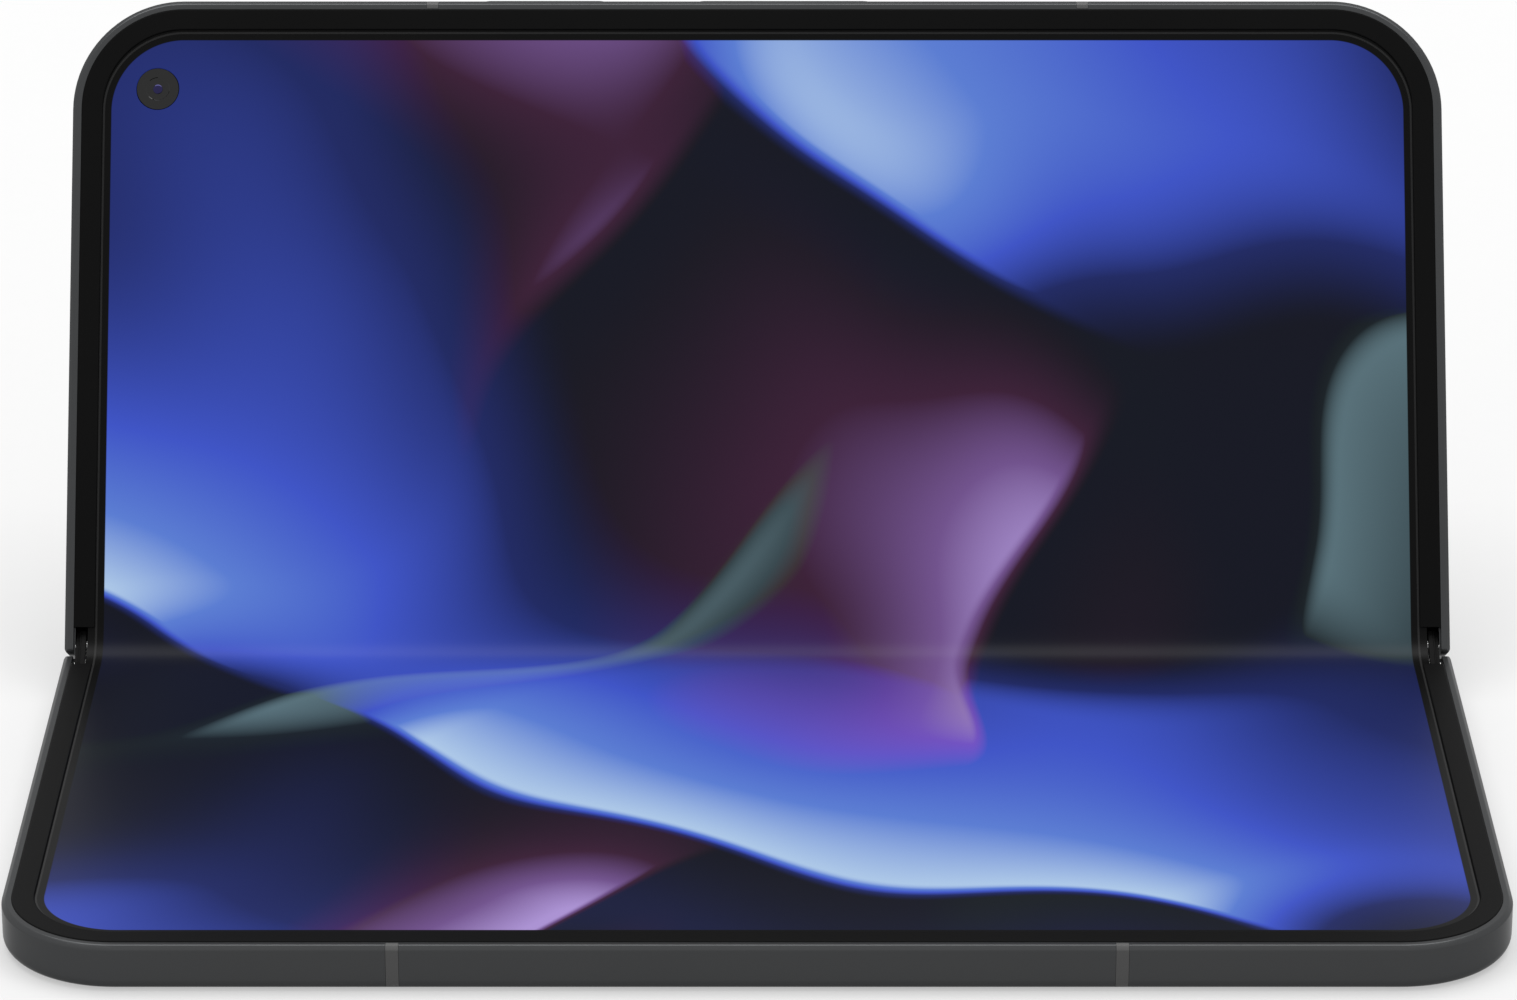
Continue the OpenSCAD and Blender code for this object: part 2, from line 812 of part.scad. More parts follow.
module cover_camera() {
    half = cover_cam_body / 2;
    color("#0a0a0a") in_lower() {
        rod_z(cover_cam_r, 0, cover_cam_y, [glass_z + seat / 2, glass_z + cut]);
        box([-half, half], [cover_cam_y - half, cover_cam_y + half], [glass_z + cut, board_top]);
    }
}

module lower_battery() {
    color("#2b2d30") in_lower()
        round_plate(lower_battery_x, lower_battery_y, lower_battery_z, part_r);
}

module lower_board() {
    color("#1d3b2a") in_lower() {
        box(lower_board_x, lower_board_y, [board_top - board_t, board_top]);
        box(lower_chip_x, lower_chip_y, [chip_z, board_top - board_t]);
    }
}

module lower_speaker() {
    color("#202225") in_lower() round_plate(lower_speaker_x, lower_speaker_y, deep_z, part_r);
}

module vibration_motor() {
    color("#b4b6b8") in_lower() round_plate(motor_x, motor_y, deep_z, part_r);
}

module sim_socket() {
    in_x = hw - wall - tray_depth;
    half = tray_card / 2 + socket_clear;
    half_h = tray_t / 2 + socket_clear;
    color("#c0c2c4") in_lower() difference() {
        box([in_x - socket_clear - socket_wall, hw - wall - seat],
            [tray_y - half - socket_wall, tray_y + half + socket_wall],
            [tray_z - half_h - socket_wall, bay_top - seat]);
        box([in_x - socket_clear, hw], [tray_y - half, tray_y + half],
            [tray_z - half_h, tray_z + half_h]);
    }
}

module sim_tray() {
    in_x = hw - wall - tray_depth;
    color("#4a4b4e") in_lower() difference() {
        union() {
            slot_through_x(tray_y, tray_z, tray_face, tray_face_w, [hw - wall + part_gap, hw]);
            box([in_x, hw - wall + part_gap], [tray_y - tray_card / 2, tray_y + tray_card / 2],
                [tray_z - tray_t / 2, tray_z + tray_t / 2]);
        }
        box([in_x + tray_rim[0], hw - wall - tray_rim[1]],
            [tray_y - tray_pocket / 2, tray_y + tray_pocket / 2],
            [tray_z + tray_web - tray_t / 2, tray_z + tray_t]);
    }
}

module lower_antenna_seams() {
    color("#55565a") in_lower() antenna_seams();
}

module lower_magnets() {
    color("#a0a2a6") in_lower() magnets();
}

module lower_screws() {
    color("#6b6d70") in_lower() {
        half_screws();
        arm_screws(-1);
    }
}

module lower_hinge_arms() {
    color("#9c9ea1") in_lower() hinge_arms(-1);
}

// The lower half is drawn mirrored, so the gear's angle is mirrored too
module lower_pivot_gears() {
    color("#b8b9bb") in_lower() pivot_gears(180 - phase_pivot_lower);
}

// ---- Parts of the upper half ----

// Openings for the two keys
module key_slots() {
    for (k = [[power_x, power_len], [volume_x, volume_len]])
        slot_through_y(k[0], key_z, k[1] + 2 * key_gap, key_w + 2 * key_gap,
                       [half_depth - wall - cut, half_depth + cut]);
}

module upper_frame() {
    side = [hw - wall - cut, hw + cut];
    color("#4a4b4e") in_upper() difference() {
        frame_blank(1);
        key_slots();
        slot_through_x(usb_y, usb_z, usb_w + 2 * usb_shell + part_gap,
                       usb_h + 2 * usb_shell + part_gap, side);
        grille(usb_z);
        rod_x(mic_r, side, usb_y - mic_off, usb_z);
        mirror([1, 0, 0]) rod_x(mic_r, side, usb_y, usb_z);
    }
}

module upper_midplate() {
    color("#8a8c90") in_upper() midplate() {
        screw_holes();
        arm_screw_holes(1);
        box([usb_back - cut, hw], [usb_y - usb_w / 2 - cut, usb_y + usb_w / 2 + cut],
            [-thickness, 0]);
        rod_z(inner_cam_r + part_gap, inner_cx, inner_cy, [-thickness, 0]);
    }
}

module upper_bezel_rim() {
    color("#151515") in_upper() bezel_rim();
}

module upper_support_plate() {
    color("#9a9c9f") in_upper() support_plate()
        rod_z(inner_cam_r + part_gap, inner_cx, inner_cy, [-thickness, 0]);
}

module upper_screen() {
    color("#0c0d16") in_upper() difference() {
        screen_half();
        rod_z(inner_cam_r, inner_cx, inner_cy, [-thickness, 0]);
    }
}

// Places the rear lenses in the island
module lens_at() {
    for (p = [[-1, 1], [-1, -1], [1, 1]])
        translate([island_cx + p[0] * lens_off, island_cy + p[1] * lens_off, 0]) children();
}

module flash_at() {
    translate([island_cx + lens_off, island_cy - lens_off, 0]) children();
}

module lens_holes(z) {
    lens_at() rod_z(lens_r + lens_gap, 0, 0, z);
    flash_at() rod_z(flash_r + flash_gap, 0, 0, z);
}

// Plan of the island, drawn in by a given distance
module island_plate(inset, z) {
    round_plate([island_cx - island_l / 2 + inset, island_cx + island_l / 2 - inset],
                [island_cy - island_w / 2 + inset, island_cy + island_w / 2 - inset],
                z, island_r - inset);
}

module back_glass() {
    color("#3a3b3e") in_upper() difference() {
        outer_glass();
        lens_holes([-thickness - cut, 0]);
    }
}

module camera_island() {
    color("#45464a") in_upper() difference() {
        union() {
            island_plate(0, [lens_z + island_step, -thickness]);
            island_plate(island_edge, [lens_z, lens_z + island_step]);
        }
        island_plate(island_rim, [lens_z - cut, lens_z + island_step + seat]);
        lens_holes([lens_z - cut, 0]);
    }
}

module camera_glass() {
    color("#0b0c0e") in_upper()
        island_plate(island_rim + rim_gap, [lens_z + seat, lens_z + island_step]);
}

// Rear camera: square body under the mid-plate and a round barrel into the island
module rear_camera(px, py) {
    half = camera_body / 2;
    translate([island_cx + px * lens_off, island_cy + py * lens_off, 0]) {
        box([-half, half], [-half, half], [glass_z + rim_gap, bay_top - rim_gap]);
        rod_z(lens_r, 0, 0, [lens_z + island_step + seat, glass_z + part_gap]);
    }
}

module main_camera() {
    color("#16171a") in_upper() rear_camera(-1, 1);
}

module wide_camera() {
    color("#16171a") in_upper() rear_camera(-1, -1);
}

module zoom_camera() {
    color("#16171a") in_upper() rear_camera(1, 1);
}

module flash() {
    color("#e8e2c8") in_upper()
        flash_at() rod_z(flash_r, 0, 0, [lens_z + island_step + seat, glass_z + cut]);
}

module inner_camera() {
    half = inner_body / 2;
    color("#0a0a0b") in_upper() {
        rod_z(inner_cam_r - part_gap, inner_cx, inner_cy,
              [bay_top - 2 * part_gap, screen_z - seat]);
        box([inner_cx - half, inner_cx + half], [inner_cy - half, inner_cy + half],
            [board_top - inner_body_t, board_top]);
    }
}

module main_board() {
    color("#1d3b2a") in_upper() box(main_board_x, main_board_y, [board_top - board_t, board_top]);
}

module processor_shield() {
    color("#c6c8ca") in_upper()
        box(shield_x, [main_board_y[0] + cut, main_board_y[1] - cut],
            [chip_z, board_top - board_t]);
}

module upper_battery() {
    color("#2b2d30") in_upper()
        round_plate(upper_battery_x, upper_battery_y, upper_battery_z, part_r);
}

module charging_coil() {
    x = (upper_battery_x[0] + upper_battery_x[1]) / 2;
    color("#b06a3a") in_upper() difference() {
        rod_z(coil_r[1], x, half_depth / 2, [glass_z + rim_gap, glass_z + rim_gap + coil_t]);
        rod_z(coil_r[0], x, half_depth / 2, [glass_z - cut, glass_z + cut]);
    }
}

// Shell of the charging socket, its tongue and its small board
module usb_socket() {
    color("#b9bbbe") in_upper() {
        difference() {
            slot_through_x(usb_y, usb_z, usb_w + 2 * usb_shell, usb_h + 2 * usb_shell,
                           [usb_back - socket_wall, hw - part_gap]);
            slot_through_x(usb_y, usb_z, usb_w, usb_h, [usb_back, hw + cut]);
        }
        box([usb_back - part_gap, hw - usb_tongue_end],
            [usb_y - usb_tongue_w / 2, usb_y + usb_tongue_w / 2],
            [usb_z - usb_tongue_t / 2, usb_z + usb_tongue_t / 2]);
        box([usb_board_x, usb_back - socket_wall],
            [usb_y - usb_board_w / 2, usb_y + usb_board_w / 2],
            [usb_z - board_t / 2, usb_z + board_t / 2]);
    }
}

module upper_speaker() {
    color("#202225") in_upper() round_plate(upper_speaker_x, upper_speaker_y, deep_z, part_r);
}

// Places of the switches behind a key: one in the middle, or two on a long key
function switch_xs(x, len) = len > two_switch_len ? [x - len / 4, x + len / 4] : [x];

module key_switches() {
    dome_y = plunger_y - key_travel - rim_gap;
    color("#c9cacc") in_upper()
        for (k = [[power_x, power_len], [volume_x, volume_len]])
            union() {
                box([k[0] - k[1] / 3, k[0] + k[1] / 3],
                    [dome_y - 2 * switch_plate, dome_y - switch_plate],
                    [key_z - switch_r, bay_top - rim_gap]);
                for (x = switch_xs(k[0], k[1]))
                    rod_y(switch_r, x, [dome_y - switch_plate - seat, dome_y], key_z);
            }
}

// Key cap, with a flange behind the frame wall and a plunger for each switch
module side_key(x, len) {
    in_y = half_depth - wall - part_gap;
    union() {
        slot_through_y(x, key_z, len, key_w, [in_y - seat, half_depth + key_proud]);
        slot_through_y(x, key_z, len + 2 * key_flange, key_w, [in_y - key_flange_t, in_y]);
        for (sx = switch_xs(x, len)) rod_y(plunger_r, sx, [plunger_y, in_y - seat], key_z);
    }
}

module power_key() {
    color("#55565a") in_upper() side_key(power_x, power_len);
}

module volume_key() {
    color("#55565a") in_upper() side_key(volume_x, volume_len);
}

module upper_antenna_seams() {
    color("#55565a") in_upper() antenna_seams();
}

module upper_magnets() {
    color("#a0a2a6") in_upper() magnets();
}

module upper_screws() {
    color("#6b6d70") in_upper() {
        half_screws();
        arm_screws(1);
    }
}

module upper_hinge_arms() {
    color("#9c9ea1") in_upper() hinge_arms(1);
}

module upper_pivot_gears() {
    color("#b8b9bb") in_upper() pivot_gears(phase_pivot_upper);
}

// ---- Parts of the spine ----

module spine_cover() {
    color("#3f4043") in_spine() spine_trough();
}

module left_end_cap() {
    color("#2c2d2f") in_spine() end_cap(-1);
}

module right_end_cap() {
    color("#2c2d2f") in_spine() end_cap(1);
}

module hinge_brackets() {
    color("#8f9194") in_spine() for (m = modules) translate([m, 0, 0]) bracket();
}

module spine_tray() {
    color("#7c7e81") in_spine() difference() {
        box([cut / 2 - gear_x, gear_x - cut / 2], [-tray_half, tray_half],
            [tray_level - tray_t_spine, tray_level]);
        for (m = modules) rod_z(bracket_screw_r + screw_clear, m, 0, [-thickness, 0]);
    }
}

module bracket_screws() {
    color("#6b6d70") in_spine() for (m = modules) {
        rod_z(bracket_head_r, m, 0, [tray_level, tray_level + bracket_head_t]);
        rod_z(bracket_screw_r, m, 0, [cover_left + seat - pivot_h - spine_r, tray_level + seat]);
    }
}

module left_lower_idler() {
    color("#d0d1d3") in_spine() turn_about(-idler_y, idler_z, idler_turn)
        idler(-1, -idler_y, phase_idler_lower);
}

module left_upper_idler() {
    color("#d0d1d3") in_spine() turn_about(idler_y, idler_z, -idler_turn)
        idler(-1, idler_y, phase_idler_upper);
}

module right_lower_idler() {
    color("#d0d1d3") in_spine() turn_about(-idler_y, idler_z, idler_turn)
        idler(1, -idler_y, phase_idler_lower);
}

module right_upper_idler() {
    color("#d0d1d3") in_spine() turn_about(idler_y, idler_z, -idler_turn)
        idler(1, idler_y, phase_idler_upper);
}

module bend_screen() {
    color("#12131c") in_spine() run_x(2 * (hw - screen_inset))
        strip_section(crossing(bend_half, screen_z, bend_reach), screen_t, 16);
}

// Cable through the slots beside the spine, with a low loop under the bending screen
module hinge_flex() {
    color("#7a4a24") in_spine() translate([(flex_x[0] + flex_x[1]) / 2, 0, 0])
        run_x(flex_x[1] - flex_x[0])
            strip_section(crossing(flex_loop, flex_z, flex_reach), flex_t, 16, flex_tail);
}

lower_frame();
lower_midplate();
lower_bezel_rim();
lower_support_plate();
lower_screen();
cover_glass();
cover_screen();
cover_camera();
lower_battery();
lower_board();
lower_speaker();
vibration_motor();
sim_socket();
sim_tray();
lower_antenna_seams();
lower_magnets();
lower_screws();
lower_hinge_arms();
lower_pivot_gears();
upper_frame();
upper_midplate();
upper_bezel_rim();
upper_support_plate();
upper_screen();
back_glass();
camera_island();
camera_glass();
main_camera();
wide_camera();
zoom_camera();
flash();
inner_camera();
main_board();
processor_shield();
upper_battery();
charging_coil();
usb_socket();
upper_speaker();
key_switches();
power_key();
volume_key();
upper_antenna_seams();
upper_magnets();
upper_screws();
upper_hinge_arms();
upper_pivot_gears();
spine_cover();
left_end_cap();
right_end_cap();
hinge_brackets();
spine_tray();
bracket_screws();
left_lower_idler();
left_upper_idler();
right_lower_idler();
right_upper_idler();
bend_screen();
hinge_flex();
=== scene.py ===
"""Looks of a foldable smartphone that stands half open on a table."""

import json
import math

import bmesh
import bpy
from mathutils import Matrix, Vector


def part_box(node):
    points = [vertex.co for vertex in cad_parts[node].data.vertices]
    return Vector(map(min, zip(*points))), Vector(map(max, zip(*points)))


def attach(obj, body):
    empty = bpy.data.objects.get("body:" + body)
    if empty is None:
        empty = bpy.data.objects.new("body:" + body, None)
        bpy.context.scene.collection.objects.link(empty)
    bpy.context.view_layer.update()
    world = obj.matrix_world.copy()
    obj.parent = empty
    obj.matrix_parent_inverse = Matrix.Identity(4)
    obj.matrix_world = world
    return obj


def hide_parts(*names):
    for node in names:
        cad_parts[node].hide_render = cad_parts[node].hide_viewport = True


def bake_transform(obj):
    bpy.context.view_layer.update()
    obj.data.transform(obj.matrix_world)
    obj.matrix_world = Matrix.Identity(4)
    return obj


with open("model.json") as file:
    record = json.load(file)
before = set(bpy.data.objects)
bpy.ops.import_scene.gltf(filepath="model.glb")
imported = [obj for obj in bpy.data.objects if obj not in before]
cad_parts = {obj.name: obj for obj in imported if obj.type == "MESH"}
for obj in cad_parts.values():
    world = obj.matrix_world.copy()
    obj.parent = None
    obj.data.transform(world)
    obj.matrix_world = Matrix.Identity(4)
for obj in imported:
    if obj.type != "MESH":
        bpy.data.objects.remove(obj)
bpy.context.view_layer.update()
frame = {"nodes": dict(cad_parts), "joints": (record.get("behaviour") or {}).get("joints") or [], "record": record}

# ---- Sizes that the frame gives, in metres ----

MM = 0.001
case_low, case_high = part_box("lower_frame")
rim_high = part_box("lower_bezel_rim")[1]
HALF_LEN = case_high.x
CREASE_Y = -case_low.y
DEPTH = 2 * CREASE_Y
THICK = rim_high.z
LIP_Z = case_high.z - THICK

pivots = {joint["name"]: Vector(joint["pos_m"]) for joint in frame["joints"] if "fold" in joint["name"]}
hinge_line = pivots["fold_upper"] - pivots["fold_lower"]
FOLD = math.atan2(hinge_line.z, hinge_line.y)
PIVOT_A = hinge_line.length / 2
PIVOT_H = THICK - pivots["fold_lower"].z

# ---- Sizes of the visible pieces ----

CORNER = 12.5 * MM
WALL = 1.5 * MM
TOP_CHAMFER = 0.45 * MM
BOTTOM_ROUND = 1.3 * MM
HINGE_STRIP = 6.2 * MM
BAR_TOP = -0.85 * MM
SKIN_Z = -4.5 * MM
SWEEP_R = 3.4 * MM
KNUCKLE_R = 1.0 * MM
END_CORNER = 0.9 * MM
SPINE_R = 3.15 * MM
SPINE_WALL = 0.45 * MM
CAP_IN = 75.65 * MM
CAP_OUT = 76.3 * MM
STRIP_OUT = 75.9 * MM
STRIP_HALF = 2.8 * MM
STRIP_STEP = 0.3 * MM

RIM_IN = 1.05 * MM
RIM_OUT = 3.4 * MM
RIM_STEP = 2.5 * MM
RIM_START = 3.4 * MM
RIM_FOOT = -0.22 * MM
SUPPORT_Z = -0.7 * MM

SCREEN_Z = -0.25 * MM
SCREEN_INSET = 2.6 * MM
BEND_REACH = 3.8 * MM
BEND_LOW = -0.1 * MM
ACTIVE_INSET = 4.4 * MM
ACTIVE_CORNER = 8.2 * MM
ACTIVE_SHIFT = 0.2 * MM
LIT_BLUR = 0.04 * MM
# Where the film's edge lies outside the lit area, and the width of the lighter line painted there as a highlight.
FILM_EDGE = 0.85 * MM
FILM_HIGHLIGHT_WIDTH = 0.11 * MM

SEAM_X = 36.9 * MM
SEAM_W = 1.3 * MM
SEAM_D = 0.9 * MM

POWER_KEY = (-24.2 * MM, 14.1 * MM)
VOLUME_KEY = (3.0 * MM, 19.8 * MM)
KEY_W = 1.9 * MM
KEY_PROUD = 0.32 * MM

CORNER_STEPS = 24
EDGE_ROUND = 0.1 * MM
GAP = 0.1 * MM
SEAM_GAP = 0.03 * MM
RIM_GAP = 0.03 * MM
WALL_OVERLAP = 0.05 * MM
HOLE_FLARE = 0.08 * MM
CABLE_ROOM = 0.2 * MM
CABLE_SLOT = (-0.3 * MM, 0.2 * MM)

# SNAP is how near a corner has to be to count as there, and OVER how far a cutter runs past.
SNAP = 0.004 * MM
OVER = 1.0 * MM

# ---- Places: a piece is modelled on a half that lies flat, then turned to its rest pose ----
# Lying flat, x runs along the hinge, y outwards from the crease and z up from the rim's top.


def about(y, z, angle):
    """Turn about a line along the hinge."""
    middle = Matrix.Translation((0, y, z))
    return middle @ Matrix.Rotation(angle, 4, "X") @ middle.inverted()


AT_CREASE = Matrix.Translation((0, CREASE_Y, THICK))
PLACES = {"lower_half": AT_CREASE @ Matrix.Diagonal((1, -1, 1, 1))}
PLACES["spine"] = AT_CREASE @ about(-PIVOT_A, -PIVOT_H, FOLD)
PLACES["upper_half"] = PLACES["spine"] @ about(PIVOT_A, -PIVOT_H, FOLD)

# ---- Modelling tools ----


def only(piece):
    """Select one piece and nothing else."""
    bpy.ops.object.select_all(action="DESELECT")
    piece.select_set(True)
    bpy.context.view_layer.objects.active = piece


def named(name):
    """Name the piece just added, and fix its place in its mesh."""
    piece = bpy.context.object
    piece.name = piece.data.name = name
    bpy.ops.object.transform_apply(location=True, rotation=True, scale=True)
    return piece


def block(name, x, y, z):
    """A box between two values on each axis."""
    bpy.ops.object.select_all(action="DESELECT")
    spans = (x, y, z)
    middle = [(low + high) / 2 for low, high in spans]
    lengths = [high - low for low, high in spans]
    bpy.ops.mesh.primitive_cube_add(size=1, location=middle, scale=lengths)
    return named(name)


def rod(name, radius, start, end, sides=64):
    """A round bar between two points that differ on one axis only."""
    bpy.ops.object.select_all(action="DESELECT")
    start, end = Vector(start), Vector(end)
    run = end - start
    turn = run.to_track_quat("Z", "Y").to_euler()
    bpy.ops.mesh.primitive_cylinder_add(
        vertices=sides, radius=radius, depth=run.length, location=(start + end) / 2, rotation=turn
    )
    return named(name)


def pick(piece, kind, wanted):
    """Go into edit mode with only the wanted faces, edges or corners selected."""
    only(piece)
    bpy.ops.object.mode_set(mode="EDIT")
    bpy.ops.mesh.select_mode(type=kind)
    bpy.ops.mesh.select_all(action="DESELECT")
    shape = bmesh.from_edit_mesh(piece.data)
    for item in {"VERT": shape.verts, "EDGE": shape.edges, "FACE": shape.faces}[kind]:
        if wanted(item):
            item.select_set(True)
    shape.select_flush_mode()
    bmesh.update_edit_mesh(piece.data)


def done():
    bpy.ops.object.mode_set(mode="OBJECT")


def soften(piece, wanted, width, steps=3):
    """Round the wanted edges."""
    pick(piece, "EDGE", wanted)
    bpy.ops.mesh.bevel(offset=width, segments=steps, affect="EDGES")
    done()


def upright(edge):
    run = edge.verts[0].co - edge.verts[1].co
    return abs(run.x) < SNAP and abs(run.y) < SNAP


def level(height, but_y=None):
    """Edges that lie at one height, apart from any along y = but_y."""

    def wanted(edge):
        flat = all(abs(corner.co.z - height) < SNAP for corner in edge.verts)
        return flat and not (but_y is not None and all(abs(c.co.y - but_y) < SNAP for c in edge.verts))

    return wanted


def modify(piece, kind, **values):
    """Add a modifier and apply it."""
    only(piece)
    modifier = piece.modifiers.new(kind.lower(), kind)
    for name, value in values.items():
        setattr(modifier, name, value)
    bpy.ops.object.modifier_apply(modifier=modifier.name)


def carve(piece, *tools, operation="DIFFERENCE"):
    """Cut tools out of a piece, or join them to it."""
    for tool in tools:
        modify(piece, "BOOLEAN", object=tool, operation=operation, solver="EXACT")
        bpy.data.objects.remove(tool)


def join(*pieces):
    """Make one object of several that stay apart."""
    bpy.ops.object.select_all(action="DESELECT")
    for piece in pieces:
        piece.select_set(True)
    bpy.context.view_layer.objects.active = pieces[0]
    bpy.ops.object.join()
    return pieces[0]


def twin(piece, name):
    """A copy with its own mesh."""
    only(piece)
    bpy.ops.object.duplicate()
    copy = bpy.context.object
    copy.name = copy.data.name = name
    return copy


def moved_copy(piece, offset):
    """A copy, moved within its mesh."""
    copy = twin(piece, piece.name)
    copy.location = offset
    bpy.ops.object.transform_apply(location=True, rotation=True, scale=True)
    return copy


def mirrored(piece):
    """Turn a piece over to the other end of the hinge."""
    only(piece)
    piece.scale.x = -1
    bpy.ops.object.transform_apply(location=True, rotation=True, scale=True)
    face_outwards(piece)
    return piece


def face_outwards(piece):
    pick(piece, "FACE", lambda face: True)
    bpy.ops.mesh.remove_doubles(threshold=SNAP / 10)
    bpy.ops.mesh.normals_make_consistent(inside=False)
    done()


def fit(piece, body, place, finish, replaced=(), sharp=35):
    """Turn a piece to its rest pose, smooth and paint it, and give it to its body."""
    only(piece)
    piece.matrix_world = PLACES[place]
    bpy.ops.object.transform_apply(location=True, rotation=True, scale=True)
    face_outwards(piece)
    only(piece)
    bpy.ops.object.shade_smooth_by_angle(angle=math.radians(sharp))
    modify(piece, "WEIGHTED_NORMAL", keep_sharp=True, weight=80)
    paint(piece, finish)
    if body:
        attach(piece, body)
    if replaced:
        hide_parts(*replaced)
    return piece


def paint(piece, slot):
    """Give a piece a finish."""
    piece.data.materials.clear()
    piece.data.materials.append(FINISHES[slot])


# ---- Shapes that both halves share ----


def half_plate(name, inset, from_y, low, high):
    """A plate with the plan of a half, drawn in from its three outer sides."""
    side, edge = HALF_LEN - inset, DEPTH - inset
    piece = block(name, (-side, side), (from_y, edge), (low, high))
    soften(piece, lambda e: upright(e) and e.verts[0].co.y > edge - SNAP, CORNER - inset, CORNER_STEPS)
    return piece


def strip_section(name, x, z, rounds, from_y):
    """The section of a strip, standing at from_y on the left side, with its corners softened."""
    bpy.ops.object.select_all(action="DESELECT")
    middle = ((x[0] + x[1]) / 2 - HALF_LEN, from_y, (z[0] + z[1]) / 2)
    bpy.ops.mesh.primitive_plane_add(size=1, location=middle, rotation=(math.pi / 2, 0, 0))
    bpy.context.object.scale = (x[1] - x[0], z[1] - z[0], 1)
    piece = named(name)
    for corner_x, corner_z, width, steps in rounds:
        place = Vector((corner_x - HALF_LEN, from_y, corner_z))
        pick(piece, "VERT", lambda corner: (corner.co - place).length < SNAP)
        bpy.ops.mesh.bevel(offset=width, segments=steps, affect="VERTICES")
        done()
    return piece


def cut_notch(piece, x, z, above):
    """Leave out the inner corner of a section, over or under a level."""
    for place, normal in (((x - HALF_LEN, 0, 0), (1, 0, 0)), ((0, 0, z), (0, 0, 1))):
        pick(piece, "FACE", lambda face: True)
        bpy.ops.mesh.bisect(plane_co=place, plane_no=normal)
        done()

    def left_out(face):
        at = face.calc_center_median()
        return at.x > x - HALF_LEN and (at.z > z) == above

    pick(piece, "FACE", left_out)
    bpy.ops.mesh.delete(type="FACE")
    bpy.ops.mesh.select_all(action="SELECT")
    bpy.ops.mesh.dissolve_limited(angle_limit=math.radians(1))
    done()


def side_strip(name, x, z, rounds, notch, from_y):
    """A strip of one section that runs round the three outer sides of a half.

    x is the section's span inwards from the side and z its levels. rounds are its softened
    corners, as (x, z, width, steps), and notch is the corner left out, as (x, z, is the upper one).
    """
    piece = strip_section(name, x, z, rounds, from_y)
    cut_notch(piece, *notch)
    pick(piece, "FACE", lambda face: True)
    straight = DEPTH - CORNER - from_y
    turn_x = HALF_LEN - CORNER
    bpy.ops.mesh.extrude_region_move(TRANSFORM_OT_translate={"value": (0, straight, 0)})
    for side, run in ((-1, (2 * turn_x, 0, 0)), (1, (0, -straight, 0))):
        middle = (side * turn_x, DEPTH - CORNER, 0)
        bpy.ops.mesh.spin(steps=CORNER_STEPS, angle=math.pi / 2, center=middle, axis=(0, 0, 1))
        bpy.ops.mesh.extrude_region_move(TRANSFORM_OT_translate={"value": run})
    done()
    face_outwards(piece)
    return piece


def wall_strip(name, from_y):
    """The frame's wall, with its chamfer above, its round below and its step for the rim."""
    rounds = (
        (0, -THICK, BOTTOM_ROUND, 10),
        (0, LIP_Z, TOP_CHAMFER, 1),
        (TOP_CHAMFER, LIP_Z, EDGE_ROUND, 3),
        (0, LIP_Z - TOP_CHAMFER, EDGE_ROUND, 3),
    )
    notch = (RIM_IN - RIM_GAP, SUPPORT_Z, True)
    return side_strip(name, (0, WALL), (-THICK, LIP_Z), rounds, notch, from_y)


def seam_boxes(gap):
    """Boxes where the two antenna seams cross the outer wall."""
    reach = SEAM_X + SEAM_W / 2 + gap
    near = SEAM_X - SEAM_W / 2 - gap
    depth = (DEPTH - SEAM_D - gap, DEPTH + OVER)
    height = (-THICK - OVER, OVER)
    left = block("seam_box", (-reach, -near), depth, height)
    right = block("seam_box", (near, reach), depth, height)
    return join(left, right)


def spine_space():
    """The space inside a half that the spine sweeps as it turns."""
    reach = CAP_OUT + GAP
    bore = rod("spine_space", SWEEP_R, (-reach, PIVOT_A, -PIVOT_H), (reach, PIVOT_A, -PIVOT_H), 128)
    carve(bore, block("spine_gap", (-reach, reach), (-OVER, PIVOT_A), (SKIN_Z, OVER)), operation="UNION")
    return bore


def knuckle_corner():
    """What is cut off the wall's ends, outside the round of the knuckles."""
    side = HALF_LEN + OVER
    corner = block("knuckle_corner", (-side, side), (-OVER, PIVOT_A), (-PIVOT_H, OVER))
    reach = side + OVER
    carve(corner, rod("knuckle", KNUCKLE_R, (-reach, PIVOT_A, -PIVOT_H), (reach, PIVOT_A, -PIVOT_H), 96))
    return corner


def end_corners():
    """What is cut off the wall's ends, outside their rounded corners in plan."""
    start = PIVOT_A - KNUCKLE_R
    corners = []
    for side in (-1, 1):
        x = sorted((side * (HALF_LEN - END_CORNER), side * (HALF_LEN + OVER)))
        corner = block("end_corner", x, (start - OVER, start + END_CORNER), (-THICK - OVER, OVER))
        middle = (side * (HALF_LEN - END_CORNER), start + END_CORNER)
        low, high = -THICK - 2 * OVER, 2 * OVER
        carve(corner, rod("end_round", END_CORNER, (*middle, low), (*middle, high), 96))
        corners.append(corner)
    return join(*corners)


def frame_blank(name):
    """A half's frame before its own openings: wall, bar beside the spine and knuckles."""
    start = PIVOT_A - KNUCKLE_R
    shell = wall_strip(name, start)
    inner = HALF_LEN - WALL + WALL_OVERLAP
    bar = block("hinge_bar", (-inner, inner), (start, HINGE_STRIP), (-THICK, BAR_TOP))
    soften(bar, lambda e: all(c.co.y < start + SNAP and c.co.z < -THICK + SNAP for c in e.verts), EDGE_ROUND)
    carve(shell, bar, operation="UNION")
    cable_x = (FLEX_X[0] - CABLE_ROOM, FLEX_X[1] + CABLE_ROOM)
    cable_z = [FLEX_Z + level_z for level_z in CABLE_SLOT]
    carve(shell, block("cable_slot", cable_x, (PIVOT_A, HINGE_STRIP + OVER), cable_z))
    carve(shell, spine_space(), knuckle_corner(), end_corners())
    return shell


